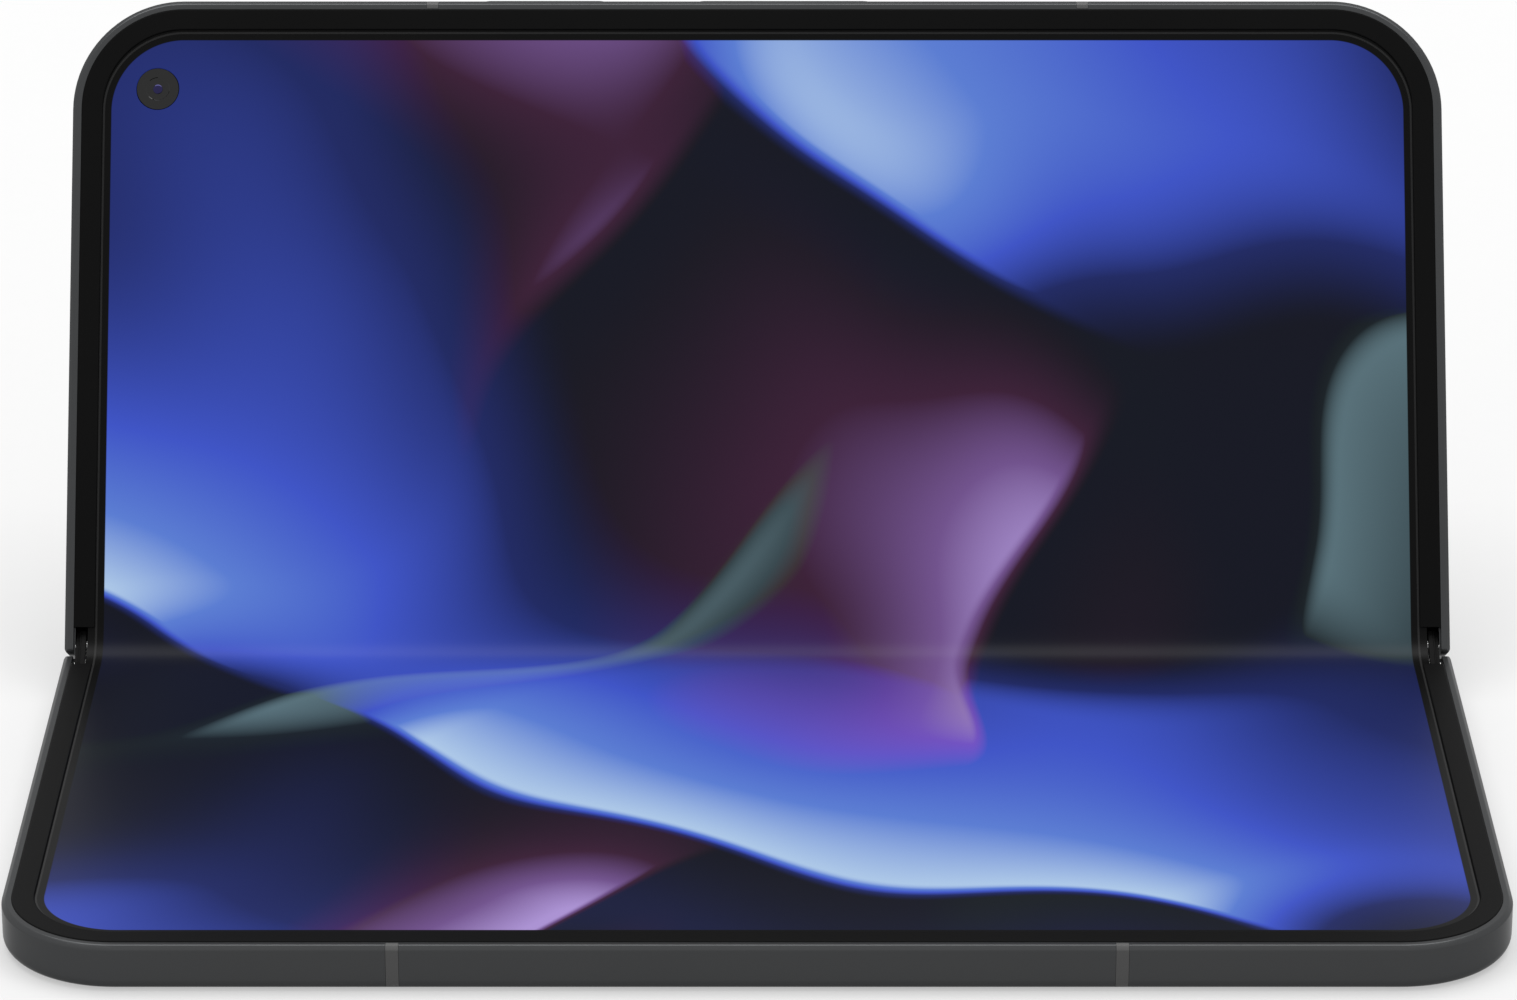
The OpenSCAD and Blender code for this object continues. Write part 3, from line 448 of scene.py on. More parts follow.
def drills(holes, radius, side):
    """Drills through a side wall, each with a flared mouth at the outside."""
    face_x = HALF_LEN - HOLE_FLARE
    made = []
    for y, z in holes:
        drill = rod("drill", radius, (side * (HALF_LEN - WALL - OVER), y, z), (side * face_x, y, z), 24)
        pick(drill, "FACE", lambda face: abs(face.calc_center_median().x - side * face_x) < SNAP)
        bpy.ops.mesh.extrude_region_move(TRANSFORM_OT_translate={"value": (side * 2 * HOLE_FLARE, 0, 0)})
        wider = 1 + 2 * HOLE_FLARE / radius
        bpy.ops.transform.resize(value=(1, wider, wider), center_override=(side * face_x, y, z))
        done()
        made.append(drill)
    return join(*made)


def slot_bar(name, along, middle, level_z, length, width, span):
    """A bar with round ends that lies across a wall. along is its long axis, x or y."""
    long_span = (middle - length / 2, middle + length / 2)
    x, y = (long_span, span) if along == "x" else (span, long_span)
    bar = block(name, x, y, (level_z - width / 2, level_z + width / 2))
    across = 1 if along == "x" else 0

    def through(edge):
        run = edge.verts[0].co - edge.verts[1].co
        return abs(run[across]) > abs(span[1] - span[0]) - SNAP

    soften(bar, through, width / 2 - SNAP, 8)
    return bar


def turned(name, x, y, steps, sides=64):
    """A round piece whose end is drawn out and scaled, step by step: steps are (radius, z)."""
    (radius, low), (_, high) = steps[:2]
    piece = rod(name, radius, (x, y, low), (x, y, high), sides)

    def far_end(face):
        return len(face.verts) == sides and abs(face.calc_center_median().z - high) < SNAP

    pick(piece, "FACE", far_end)
    for wider, level_z in steps[2:]:
        bpy.ops.mesh.extrude_region_move(TRANSFORM_OT_translate={"value": (0, 0, level_z - high)})
        scale = wider / radius
        bpy.ops.transform.resize(value=(scale, scale, 1), center_override=(x, y, level_z))
        radius, high = wider, level_z
    done()
    return piece


def dome(radius, edge_z, rise, steps=8):
    """The last steps of a turned piece: a shallow round cap."""
    turns = [math.pi / 2 * step / (steps + 1) for step in range(1, steps + 1)]
    return [(radius * math.cos(turn), edge_z + rise * math.sin(turn)) for turn in turns]


def profile(points, face_z=0.0):
    """A turned piece's steps, from radii and levels over its face in millimetres."""
    return [(radius * MM, face_z + level_z * MM) for radius, level_z in points]


# ---- Shader tools ----


def node(tree, kind, inputs=(), **settings):
    """Add a node. inputs are (name or number, value or socket)."""
    made = tree.nodes.new("ShaderNode" + kind)
    for name, value in settings.items():
        setattr(made, name, value)
    for name, value in inputs:
        if isinstance(value, bpy.types.NodeSocket):
            tree.links.new(value, made.inputs[name])
        else:
            made.inputs[name].default_value = value
    return made


def maths(tree, operation, first, second=0.0, third=0.0):
    inputs = ((0, first), (1, second), (2, third))
    return node(tree, "Math", inputs, operation=operation).outputs[0]


def vectors(tree, operation, first, second):
    return node(tree, "VectorMath", ((0, first), (1, second)), operation=operation).outputs[0]


def scaled(tree, vector, amount):
    return node(tree, "VectorMath", ((0, vector), ("Scale", amount)), operation="SCALE").outputs[0]


def blended(tree, amount, first, second):
    """Mix two colours."""
    return node(tree, "Mix", ((0, amount), (6, first), (7, second)), data_type="RGBA").outputs[2]


def ranged(tree, value, low, high):
    """Map 0..1 to a new range."""
    return node(tree, "MapRange", ((0, value), (3, low), (4, high))).outputs[0]


def eased(tree, value, low, high):
    """Rise softly from 0 at low to 1 at high."""
    inputs = ((0, value), (1, low), (2, high))
    return node(tree, "MapRange", inputs, interpolation_type="SMOOTHSTEP").outputs[0]


def ramp(tree, value, stops):
    """A colour ramp: stops are (place, colour)."""
    made = node(tree, "ValToRGB", ((0, value),))
    points = made.color_ramp.elements
    while len(points) < len(stops):
        points.new(0.5)
    for point, (place, colour) in zip(points, stops):
        point.position = place
        point.color = (*colour, 1)
    return made.outputs[0]


def shared(name, inputs, outputs):
    """Start a node group with its sockets: (name, kind, default)."""
    tree = bpy.data.node_groups.new(name, "ShaderNodeTree")
    for label, kind, default in inputs:
        socket = tree.interface.new_socket(label, in_out="INPUT", socket_type="NodeSocket" + kind)
        if default is not None:
            socket.default_value = default
    for label, kind in outputs:
        tree.interface.new_socket(label, in_out="OUTPUT", socket_type="NodeSocket" + kind)
    return tree, tree.nodes.new("NodeGroupInput").outputs, tree.nodes.new("NodeGroupOutput").inputs


def use(tree, group, **inputs):
    """Put a node group in a material."""
    made = tree.nodes.new("ShaderNodeGroup")
    made.node_tree = group
    for name, value in inputs.items():
        key = name.replace("_", " ")
        if isinstance(value, bpy.types.NodeSocket):
            tree.links.new(value, made.inputs[key])
        else:
            made.inputs[key].default_value = value
    return made.outputs


FINE_SHARE = 0.6
PATCH_GRAIN = 60.0
BRUSH_DRAW = (0.03, 1.0, 1.0)
BRUSH_SCALE = 12000.0
WIPE_SCALE = 45.0
WAVE_SCALE = 25.0


def grain_group():
    """Fine grain over soft patches, as on a blasted or moulded face."""
    tree, given, out = shared(
        "surface_grain",
        (
            ("Scale", "Float", 9000.0),
            ("Dark", "Color", None),
            ("Light", "Color", None),
            ("Smooth", "Float", 0.3),
            ("Rough", "Float", 0.5),
        ),
        (("Color", "Color"), ("Roughness", "Float"), ("Height", "Float")),
    )
    place = node(tree, "TexCoord").outputs["Object"]
    fine = node(tree, "TexNoise", (("Vector", place), ("Scale", given["Scale"]), ("Detail", 3.0)))
    broad = node(tree, "TexNoise", (("Vector", place), ("Scale", PATCH_GRAIN), ("Detail", 2.0)))
    patchy = maths(tree, "MULTIPLY", broad.outputs[0], 1 - FINE_SHARE)
    both = maths(tree, "MULTIPLY_ADD", fine.outputs[0], FINE_SHARE, patchy)
    tree.links.new(blended(tree, both, given["Dark"], given["Light"]), out["Color"])
    tree.links.new(ranged(tree, both, given["Smooth"], given["Rough"]), out["Roughness"])
    tree.links.new(fine.outputs[0], out["Height"])
    return tree


def brush_group():
    """Long fine lines along the hinge, as on drawn or rolled metal."""
    tree, given, out = shared(
        "brushed_lines",
        (
            ("Dark", "Color", None),
            ("Light", "Color", None),
            ("Smooth", "Float", 0.25),
            ("Rough", "Float", 0.45),
        ),
        (("Color", "Color"), ("Roughness", "Float"), ("Height", "Float")),
    )
    place = node(tree, "TexCoord").outputs["Object"]
    drawn = node(tree, "Mapping", (("Vector", place), ("Scale", BRUSH_DRAW)))
    lines = node(tree, "TexNoise", (("Vector", drawn.outputs[0]), ("Scale", BRUSH_SCALE), ("Detail", 4.0)))
    tree.links.new(blended(tree, lines.outputs[0], given["Dark"], given["Light"]), out["Color"])
    tree.links.new(ranged(tree, lines.outputs[0], given["Smooth"], given["Rough"]), out["Roughness"])
    tree.links.new(lines.outputs[0], out["Height"])
    return tree


def smudge_group():
    """Faint wiped marks that make a glass face a little uneven in gloss."""
    tree, given, out = shared(
        "glass_wipe",
        (("Smooth", "Float", 0.05), ("Rough", "Float", 0.12)),
        (("Roughness", "Float"), ("Height", "Float")),
    )
    place = node(tree, "TexCoord").outputs["Object"]
    marks = (("Vector", place), ("Scale", WIPE_SCALE), ("Detail", 5.0), ("Distortion", 1.2))
    broad = node(tree, "TexNoise", marks)
    wavy = node(tree, "TexNoise", (("Vector", place), ("Scale", WAVE_SCALE), ("Detail", 1.0)))
    tree.links.new(ranged(tree, broad.outputs[0], given["Smooth"], given["Rough"]), out["Roughness"])
    tree.links.new(wavy.outputs[0], out["Height"])
    return tree


WARP_PUSH = 1.25
WARP_SCALE = 1.1
PATCH_SCALE = 1.2
PATCH_EDGE = (0.41, 0.54)


def silk_group():
    """Flowing folds of coloured light for the screen, from a place on it in units of 0.1 m."""
    tree, given, out = shared("flowing_folds", (("Place", "Vector", None),), (("Color", "Color"),))

    def bent(shift):
        """The place, pushed about by slow noise."""
        moved = vectors(tree, "ADD", given["Place"], shift)
        warp = node(tree, "TexNoise", (("Vector", moved), ("Scale", WARP_SCALE), ("Detail", 0.8)))
        centred = vectors(tree, "SUBTRACT", warp.outputs["Color"], (0.5, 0.5, 0.5))
        whole = vectors(tree, "ADD", given["Place"], scaled(tree, centred, WARP_PUSH))
        return node(tree, "SeparateXYZ", ((0, whole),)).outputs

    def sheet(place, across, along, offset, fade, width):
        """Bright beside a fold's crisp edge, and soft towards the next one."""
        lean = maths(tree, "MULTIPLY_ADD", place[0], across, maths(tree, "MULTIPLY", place[1], along))
        saw = maths(tree, "FRACT", maths(tree, "ADD", lean, offset))
        rise = eased(tree, saw, 0.0, width)
        fall = maths(tree, "POWER", maths(tree, "SUBTRACT", 1.0, saw), fade)
        return maths(tree, "MULTIPLY", rise, fall)

    def patches(shift):
        """Where a colour shows at all."""
        moved = vectors(tree, "ADD", given["Place"], shift)
        noise = node(tree, "TexNoise", (("Vector", moved), ("Scale", PATCH_SCALE), ("Detail", 0.6)))
        return eased(tree, noise.outputs[0], *PATCH_EDGE)

    total = None
    for shift, turn, fade, width, colours in FOLDS:
        light = maths(tree, "MULTIPLY", sheet(bent(shift), *turn, fade, width), patches(shift))
        tint = ramp(tree, light, colours)
        total = vectors(tree, "MAXIMUM", total, tint) if total else tint
    tree.links.new(total, out["Color"])
    return tree


def inside_group():
    """The lit part of the screen, and a fine lighter line at its film's edge in the black border round it: a
    painted highlight.

    The place on the screen is given in millimetres.
    """
    tree, given, out = shared(
        "lit_area",
        (("Along", "Float", 0.0), ("Out", "Float", 0.0)),
        (("Mask", "Float"), ("Film Edge Highlight", "Float")),
    )
    corner = ACTIVE_CORNER / MM
    side = (HALF_LEN - ACTIVE_INSET) / MM - corner
    end = (DEPTH - ACTIVE_INSET) / MM - corner
    x = maths(tree, "SUBTRACT", maths(tree, "ABSOLUTE", given["Along"]), side)
    shifted = maths(tree, "ADD", given["Out"], ACTIVE_SHIFT / MM)
    y = maths(tree, "SUBTRACT", maths(tree, "ABSOLUTE", shifted), end)
    over_x, over_y = maths(tree, "MAXIMUM", x, 0.0), maths(tree, "MAXIMUM", y, 0.0)
    square = maths(tree, "MULTIPLY_ADD", over_x, over_x, maths(tree, "MULTIPLY", over_y, over_y))
    outside = maths(tree, "SQRT", square)
    inside = maths(tree, "MINIMUM", maths(tree, "MAXIMUM", x, y), 0.0)
    distance = maths(tree, "SUBTRACT", maths(tree, "ADD", outside, inside), corner)
    blur = LIT_BLUR / MM
    edge = node(tree, "MapRange", ((0, distance), (1, -blur), (2, blur), (3, 1.0), (4, 0.0)))
    tree.links.new(edge.outputs[0], out["Mask"])
    # The mask of the painted highlight line at the film's edge.
    tree.links.new(maths(tree, "COMPARE", distance, FILM_EDGE / MM, FILM_HIGHLIGHT_WIDTH / MM), out["Film Edge Highlight"])
    return tree


def grey(value, warmth=0.0):
    return (value * (1 + warmth), value, value * (1 - warmth), 1)


# Each fold: where its noise is read, (lean across, lean along, offset), fade, edge and colours.
FOLDS = (
    (
        (0.0, 0.0, 0.0),
        (0.62, 0.95, 0.42),
        1.5,
        0.04,
        (
            (0.00, (0.003, 0.004, 0.012)),
            (0.25, (0.010, 0.018, 0.120)),
            (0.50, (0.045, 0.085, 0.560)),
            (0.72, (0.100, 0.200, 0.640)),
            (0.95, (0.420, 0.580, 0.800)),
        ),
    ),
    (
        (3.1, 1.7, 0.4),
        (-1.15, 0.60, 0.35),
        1.5,
        0.05,
        (
            (0.00, (0.003, 0.004, 0.010)),
            (0.30, (0.040, 0.010, 0.034)),
            (0.60, (0.160, 0.080, 0.260)),
            (0.90, (0.400, 0.280, 0.640)),
        ),
    ),
    (
        (-2.3, 4.2, 1.9),
        (0.90, -1.10, 0.55),
        1.9,
        0.08,
        (
            (0.00, (0.002, 0.003, 0.008)),
            (0.40, (0.006, 0.011, 0.015)),
            (0.90, (0.100, 0.170, 0.200)),
        ),
    ),
)

GRAIN = grain_group()
BRUSH = brush_group()
WIPE = smudge_group()
SILK = silk_group()
INSIDE = inside_group()


# Every finish by its name: one for each of the record's slots, the lens fronts and the floor.
FINISHES = {}


def shader(name, **values):
    """Start a material and keep it by its name: values go on the shader's own sockets."""
    material = bpy.data.materials.new(name)
    material.use_nodes = True
    tree = material.node_tree
    surface = tree.nodes["Principled BSDF"]
    for key, value in values.items():
        surface.inputs[key.replace("_", " ")].default_value = value
    FINISHES[name] = material
    return tree, surface.inputs


def relief(tree, surface, height, depth):
    """Drive the normal with a height, in metres."""
    bump = node(tree, "Bump", (("Height", height), ("Distance", depth), ("Strength", 1.0)))
    tree.links.new(bump.outputs[0], surface["Normal"])


def feed(tree, surface, out, depth=None):
    """Link what a group puts out to the shader: its colour, its gloss and its height."""
    if "Color" in out:
        tree.links.new(out["Color"], surface["Base Color"])
    tree.links.new(out["Roughness"], surface["Roughness"])
    if depth:
        relief(tree, surface, out["Height"], depth)


def grained(name, dark, light, smooth, rough, scale=9000.0, depth=0.003 * MM, **values):
    """A blasted metal or moulded plastic face."""
    tree, surface = shader(name, **values)
    out = use(tree, GRAIN, Scale=scale, Dark=dark, Light=light, Smooth=smooth, Rough=rough)
    feed(tree, surface, out, depth)


def brushed(name, dark, light, smooth, rough, depth=0.001 * MM):
    """A drawn or rolled metal face."""
    tree, surface = shader(name, Metallic=1.0)
    feed(tree, surface, use(tree, BRUSH, Dark=dark, Light=light, Smooth=smooth, Rough=rough), depth)


def dark_glass(name, colour, smooth, rough, **values):
    """A polished face over a dark layer."""
    tree, surface = shader(name, Base_Color=colour, **values)
    feed(tree, surface, use(tree, WIPE, Smooth=smooth, Rough=rough), 0.002 * MM)


SCREEN_BOUNCE = 0.3
BORDER_BLACK = 0.0012
# The grey of the line at the film's edge is a painted highlight, for light caught on the film's polished edge.
FILM_EDGE_HIGHLIGHT_GREY = 0.016
PATTERN_UNIT = 0.01


def screen_place(tree):
    """A point's place on the opened screen, in millimetres from its middle."""
    spot = node(tree, "UVMap", uv_map="screen").outputs[0]
    full = (2 * HALF_LEN / MM, 2 * DEPTH / MM, 1.0)
    half = (HALF_LEN / MM, DEPTH / MM, 0.0)
    return vectors(tree, "SUBTRACT", vectors(tree, "MULTIPLY", spot, full), half)


def screen_finish():
    """The lit screen under its film, with a black border and a painted highlight line at the film's edge, and
    dimmer where it is reflected.
    """
    tree, surface = shader("flexible_screen", Specular_IOR_Level=0.07, Emission_Strength=1.0)
    placed = screen_place(tree)
    apart = node(tree, "SeparateXYZ", ((0, placed),)).outputs
    area = use(tree, INSIDE, Along=apart[0], Out=apart[1])
    # The black border, with a painted highlight: the film's edge drawn as a lighter line.
    border_with_highlight = blended(tree, area["Film Edge Highlight"], grey(BORDER_BLACK), grey(FILM_EDGE_HIGHLIGHT_GREY))
    tree.links.new(border_with_highlight, surface["Base Color"])
    colour = use(tree, SILK, Place=scaled(tree, placed, PATTERN_UNIT))["Color"]
    path = node(tree, "LightPath").outputs
    bounced = maths(tree, "MAXIMUM", path["Is Glossy Ray"], path["Is Diffuse Ray"])
    dimmed = maths(tree, "MULTIPLY_ADD", bounced, SCREEN_BOUNCE - 1, 1.0)
    lit = maths(tree, "MULTIPLY", area["Mask"], dimmed)
    tree.links.new(blended(tree, lit, grey(0.0), colour), surface["Emission Color"])
    feed(tree, surface, use(tree, WIPE, Smooth=0.34, Rough=0.42), 0.01 * MM)


TRACK_SCALE = 700.0
TRACK_EDGE = (0.30, 0.34)
LACQUER = ((0.010, 0.055, 0.025, 1), (0.022, 0.10, 0.045, 1))


def board_finish():
    """Green lacquer over copper tracks."""
    tree, surface = shader("board_green", Coat_Weight=0.4)
    place = node(tree, "TexCoord").outputs["Object"]
    tracks = node(tree, "TexVoronoi", (("Vector", place), ("Scale", TRACK_SCALE)), distance="MANHATTAN")
    low, high = TRACK_EDGE
    lines = node(tree, "MapRange", ((0, tracks.outputs["Distance"]), (1, low), (2, high))).outputs[0]
    tree.links.new(blended(tree, lines, *LACQUER), surface["Base Color"])
    feed(tree, surface, use(tree, WIPE, Smooth=0.30, Rough=0.42))
    relief(tree, surface, lines, 0.01 * MM)


FRAME_GREYS = (grey(0.045, -0.03), grey(0.056, -0.03))
FRAME_METAL = {"Metallic": 0.75, "Specular_IOR_Level": 0.3, "Specular_Tint": grey(0.6)}
LENS_DARK = (0.003, 0.002, 0.008, 1)
LENS_SHEEN = {"Specular_IOR_Level": 0.9, "Specular_Tint": (0.30, 0.28, 0.85, 1)}

# Each finish: two tones (or one under glass), the two ends of its roughness, then its grain's
# scale and depth where they differ from the usual ones.
grained("graphite_frame", *FRAME_GREYS, 0.27, 0.34, **FRAME_METAL)
grained("key_metal", *FRAME_GREYS, 0.27, 0.34, **FRAME_METAL)
grained("seam_plastic", grey(0.038), grey(0.046), 0.50, 0.60)
grained("rim_plastic", grey(0.0032), grey(0.0044), 0.45, 0.55, 6000.0, Specular_IOR_Level=0.03)
screen_finish()
dark_glass("outer_glass", grey(0.0035), 0.03, 0.08, Coat_Weight=0.3)
grained("back_glass", grey(0.030), grey(0.036), 0.30, 0.36, 14000.0, 0.0008 * MM)
grained("island_metal", grey(0.085), grey(0.110), 0.24, 0.32, Metallic=0.9)
dark_glass("camera_cover", grey(0.0015), 0.02, 0.05, Specular_IOR_Level=0.35)
dark_glass("camera_body", grey(0.0020), 0.10, 0.18, Specular_IOR_Level=0.15)
dark_glass("lens_front", LENS_DARK, 0.02, 0.04, **LENS_SHEEN)
grained("flash_lens", (0.62, 0.55, 0.36, 1), (0.78, 0.72, 0.52, 1), 0.15, 0.25, 4000.0)
brushed("spine_metal", grey(0.080), grey(0.125), 0.28, 0.40)
grained("cap_plastic", grey(0.0045), grey(0.0065), 0.55, 0.65, Specular_IOR_Level=0.04)
brushed("steel", grey(0.42), grey(0.58), 0.22, 0.38)
brushed("inner_plate", grey(0.30), grey(0.40), 0.30, 0.45)
dark_glass("panel", grey(0.004), 0.10, 0.18)
grained("battery_wrap", grey(0.020), grey(0.028), 0.40, 0.52, 3000.0)
board_finish()
grained("speaker_black", grey(0.010), grey(0.016), 0.50, 0.62, 5000.0)
brushed("coil_copper", (0.45, 0.17, 0.07, 1), (0.75, 0.34, 0.16, 1), 0.25, 0.40, 0.004 * MM)
grained("flex_amber", (0.30, 0.12, 0.02, 1), (0.42, 0.19, 0.04, 1), 0.25, 0.35, 2500.0)

# ---- The frames ----

SIDE_Z = {"lower": -2.6 * MM, "upper": -2.55 * MM}
MIDDLE_Y = DEPTH / 2
KEY_Z = -2.55 * MM
SPEAKER_R = 0.45 * MM
SPEAKER_Y = [DEPTH - 21 * MM + step * 1.9 * MM for step in (-2, -1, 0, 1, 2)]
SMALL_HOLE_R = 0.4 * MM
RELEASE_Y = MIDDLE_Y + 9.7 * MM
VOICE_Y = MIDDLE_Y - 10 * MM
TRAY_FACE = (15 * MM, 1.5 * MM)
PORT = (8.34 * MM, 2.56 * MM)
PORT_SHELL = 0.25 * MM


def wall_slot(middle, z, length, width):
    """A slot through the right wall of a half."""
    span = (HALF_LEN - WALL - OVER, HALF_LEN + OVER)
    return slot_bar("wall_slot", "y", middle, z, length, width, span)


def key_slot(x, length):
    span = (DEPTH - WALL - OVER, DEPTH + OVER)
    return slot_bar("key_slot", "x", x, KEY_Z, length + 2 * GAP, KEY_W + 2 * GAP, span)


def lower_frame_shell():
    """The lower frame: speaker holes on both sides, the card tray's slot and its release hole."""
    shell = frame_blank("lower_shell")
    z = SIDE_Z["lower"]
    speakers = [(y, z) for y in SPEAKER_Y]
    tray_slot = wall_slot(MIDDLE_Y, z, TRAY_FACE[0] + 2 * GAP, TRAY_FACE[1] + 2 * GAP)
    release = drills([(RELEASE_Y, z)], SMALL_HOLE_R, 1)
    carve(shell, drills(speakers, SPEAKER_R, -1), drills(speakers, SPEAKER_R, 1), tray_slot, release)
    carve(shell, seam_boxes(SEAM_GAP))
    fit(shell, "lower_half", "lower_half", "graphite_frame", ["lower_frame"])


def upper_frame_shell():
    """The upper frame: key slots, one row of speaker holes, microphones and the charging socket."""
    shell = frame_blank("upper_shell")
    z = SIDE_Z["upper"]
    speakers = drills([(y, z) for y in SPEAKER_Y], SPEAKER_R, 1)
    right_voice = drills([(VOICE_Y, z)], SMALL_HOLE_R, 1)
    left_voice = drills([(MIDDLE_Y, z)], SMALL_HOLE_R, -1)
    port = wall_slot(MIDDLE_Y, z, PORT[0] + 2 * PORT_SHELL + GAP, PORT[1] + 2 * PORT_SHELL + GAP)
    carve(shell, speakers, right_voice, left_voice, port)
    carve(shell, key_slot(*POWER_KEY), key_slot(*VOLUME_KEY))
    carve(shell, seam_boxes(SEAM_GAP))
    fit(shell, "upper_half", "upper_half", "graphite_frame", ["upper_frame"])


def antenna_seams():
    """The two plastic seams across the outer wall of each half."""
    lower = wall_strip("lower_seams", HINGE_STRIP)
    carve(lower, seam_boxes(0), operation="INTERSECT")
    upper = twin(lower, "upper_seams")
    fit(lower, "lower_half", "lower_half", "seam_plastic", ["lower_antenna_seams"])
    fit(upper, "upper_half", "upper_half", "seam_plastic", ["upper_antenna_seams"])


RIM_ROUND = 0.14 * MM


def bezel_rims():
    """The soft rim that stands a little above the screen, open towards the crease."""
    rounds = ((RIM_IN, 0, RIM_ROUND, 4), (RIM_OUT, 0, RIM_ROUND, 4))
    notch = (RIM_STEP, RIM_FOOT, False)
    lower = side_strip("lower_rim", (RIM_IN, RIM_OUT), (SUPPORT_Z, 0), rounds, notch, RIM_START)
    upper = twin(lower, "upper_rim")
    fit(lower, "lower_half", "lower_half", "rim_plastic", ["lower_bezel_rim"])
    fit(upper, "upper_half", "upper_half", "rim_plastic", ["upper_bezel_rim"])


# ---- The folding screen ----

SCREEN_LOW = SUPPORT_Z + 0.02 * MM
SCREEN_EDGE = 0.05 * MM
SCREEN_STEPS = 24
LAST_STEP = 0.25
HANDLE_SHARE = 0.75


def rest_curve(start, face_z, middle_z, steps):
    """Stations of a sheet's face from its straight part to the crease, on a flat half.

    Each is (distance along the sheet, y, z, slope). The curve is a symmetric cubic in the
    spine's own frame, so the two halves of the sheet meet in the middle without a kink. Half
    way along, such a curve lies three quarters of the way towards its two handles.
    """
    cos, sin = math.cos(FOLD), math.sin(FOLD)
    out, up = start - PIVOT_A, face_z + PIVOT_H
    end = Vector((PIVOT_A + cos * out - sin * up, sin * out + cos * up - PIVOT_H))
    reach = (end.y - middle_z) / (HANDLE_SHARE * sin)
    handle = end - reach * Vector((cos, sin))
    points = (Vector((-end.x, end.y)), Vector((-handle.x, handle.y)), handle, end)
    stations = []
    for step in [*range(steps), steps - LAST_STEP, steps]:
        t = 1 - 0.5 * step / steps
        weights = ((1 - t) ** 3, 3 * t * (1 - t) ** 2, 3 * t * t * (1 - t), t ** 3)
        slopes = (-3 * (1 - t) ** 2, 3 * (1 - t) * (1 - 3 * t), 3 * t * (2 - 3 * t), 3 * t * t)
        s, n = sum((w * p for w, p in zip(weights, points)), Vector((0, 0)))
        run, rise = sum((w * p for w, p in zip(slopes, points)), Vector((0, 0)))
        s, n = s - PIVOT_A, n + PIVOT_H
        y, z = PIVOT_A + cos * s + sin * n, cos * n - sin * s - PIVOT_H
        stations.append((start * (2 * t - 1), y, z, math.atan2(rise, run) - FOLD))
    return sorted(stations, reverse=True)


def screen_half(name, stations):
    """One half of the sheet: flat, then drawn along the bend up to the crease."""
    piece = half_plate(name, SCREEN_INSET, BEND_REACH, SCREEN_LOW, SCREEN_Z)
    soften(piece, level(SCREEN_Z, BEND_REACH), SCREEN_EDGE, 2)
    return draw_to_crease(piece, stations)


def draw_to_crease(piece, stations):
    """Draw the inner end of a flat sheet out along the bend, step by step."""
    last = stations[0]

    def inner_end(face):
        return abs(face.calc_center_median().y - last[1]) < SNAP and face.normal.y < -0.9

    pick(piece, "FACE", inner_end)
    for station in stations[1:]:
        _, y, z, slope = station
        move = (0, y - last[1], z - last[2])
        bpy.ops.mesh.extrude_region_move(TRANSFORM_OT_translate={"value": move})
        bpy.ops.transform.rotate(value=slope - last[3], orient_axis="X", center_override=(0, y, z))
        last = station
    done()
    return piece


def unroll(piece, stations, side):
    """Write each corner's place on the unrolled screen into a UV map."""

    def distance(corner):
        if corner.y > BEND_REACH - SNAP:
            return corner.y

        def off(station):
            _, y, z, slope = station
            return abs((corner.y - y) * math.cos(slope) + (corner.z - z) * math.sin(slope))

        return min(stations, key=off)[0]

    chart = piece.data.uv_layers.new(name="screen")
    far = [distance(corner.co) for corner in piece.data.vertices]
    for loop in piece.data.loops:
        x = piece.data.vertices[loop.vertex_index].co.x
        along, out = x / HALF_LEN, side * far[loop.vertex_index] / DEPTH
        chart.data[loop.index].uv = ((along + 1) / 2, (out + 1) / 2)


# The inner camera: x, y and the radius of its hole.
INNER_CAMERA = (-68.0 * MM, 64.9 * MM, 2.45 * MM)


def folding_screen():
    """The sheet in two halves that meet at the crease, with the inner camera's hole."""
    stations = rest_curve(BEND_REACH, SCREEN_Z, BEND_LOW, SCREEN_STEPS)
    lower = screen_half("lower_display", stations)
    upper = twin(lower, "upper_display")
    x, y, radius = INNER_CAMERA
    carve(upper, rod("camera_hole", radius, (x, y, -OVER), (x, y, OVER), 64))
    unroll(lower, stations, -1)
    unroll(upper, stations, 1)
    fit(lower, None, "lower_half", "flexible_screen", ["lower_screen", "bend_screen"], 30)
    fit(upper, None, "upper_half", "flexible_screen", ["upper_screen"], 30)
    share_bend(lower, upper)


def share_bend(lower, upper):
    """Move the place of each half of a sheet into its mesh."""
    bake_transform(upper)
    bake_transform(lower)


FLEX_X = (16 * MM, 30 * MM)
FLEX_Z = -2.1 * MM
FLEX_T = 0.12 * MM
FLEX_BEND = 4.3 * MM
FLEX_LOW = -1.73 * MM
FLEX_TAIL = 5 * MM
FLEX_STEPS = 16


def hinge_cable():
    """The flat cable that crosses the hinge under the screen, in two halves like the screen."""
    stations = rest_curve(FLEX_BEND, FLEX_Z, FLEX_LOW, FLEX_STEPS)
    lower = block("lower_cable", FLEX_X, (FLEX_BEND, FLEX_BEND + FLEX_TAIL), (FLEX_Z - FLEX_T, FLEX_Z))
    draw_to_crease(lower, stations)
    upper = twin(lower, "upper_cable")
    fit(lower, None, "lower_half", "flex_amber", ["hinge_flex"], 30)
    fit(upper, None, "upper_half", "flex_amber", sharp=30)
    share_bend(lower, upper)


# ---- The cameras' windows and lenses: radius and level of each step, in millimetres ----

WINDOW_FACE = SCREEN_Z - 0.08 * MM
INNER_RIM = ((2.40, -0.32), (2.40, -0.04), (2.36, 0))
INNER_SINK = ((1.34, 0), (1.28, -0.05), (0.95, -0.07), (0.62, -0.17))
INNER_FRONT = ((0.55, -0.19), (0.55, -0.15))
INNER_RISE = 0.15 * MM


def crowned(points, face_z, rise):
    """A profile that ends in a shallow dome."""
    steps = profile(points, face_z)
    return steps + dome(*steps[-1], rise)


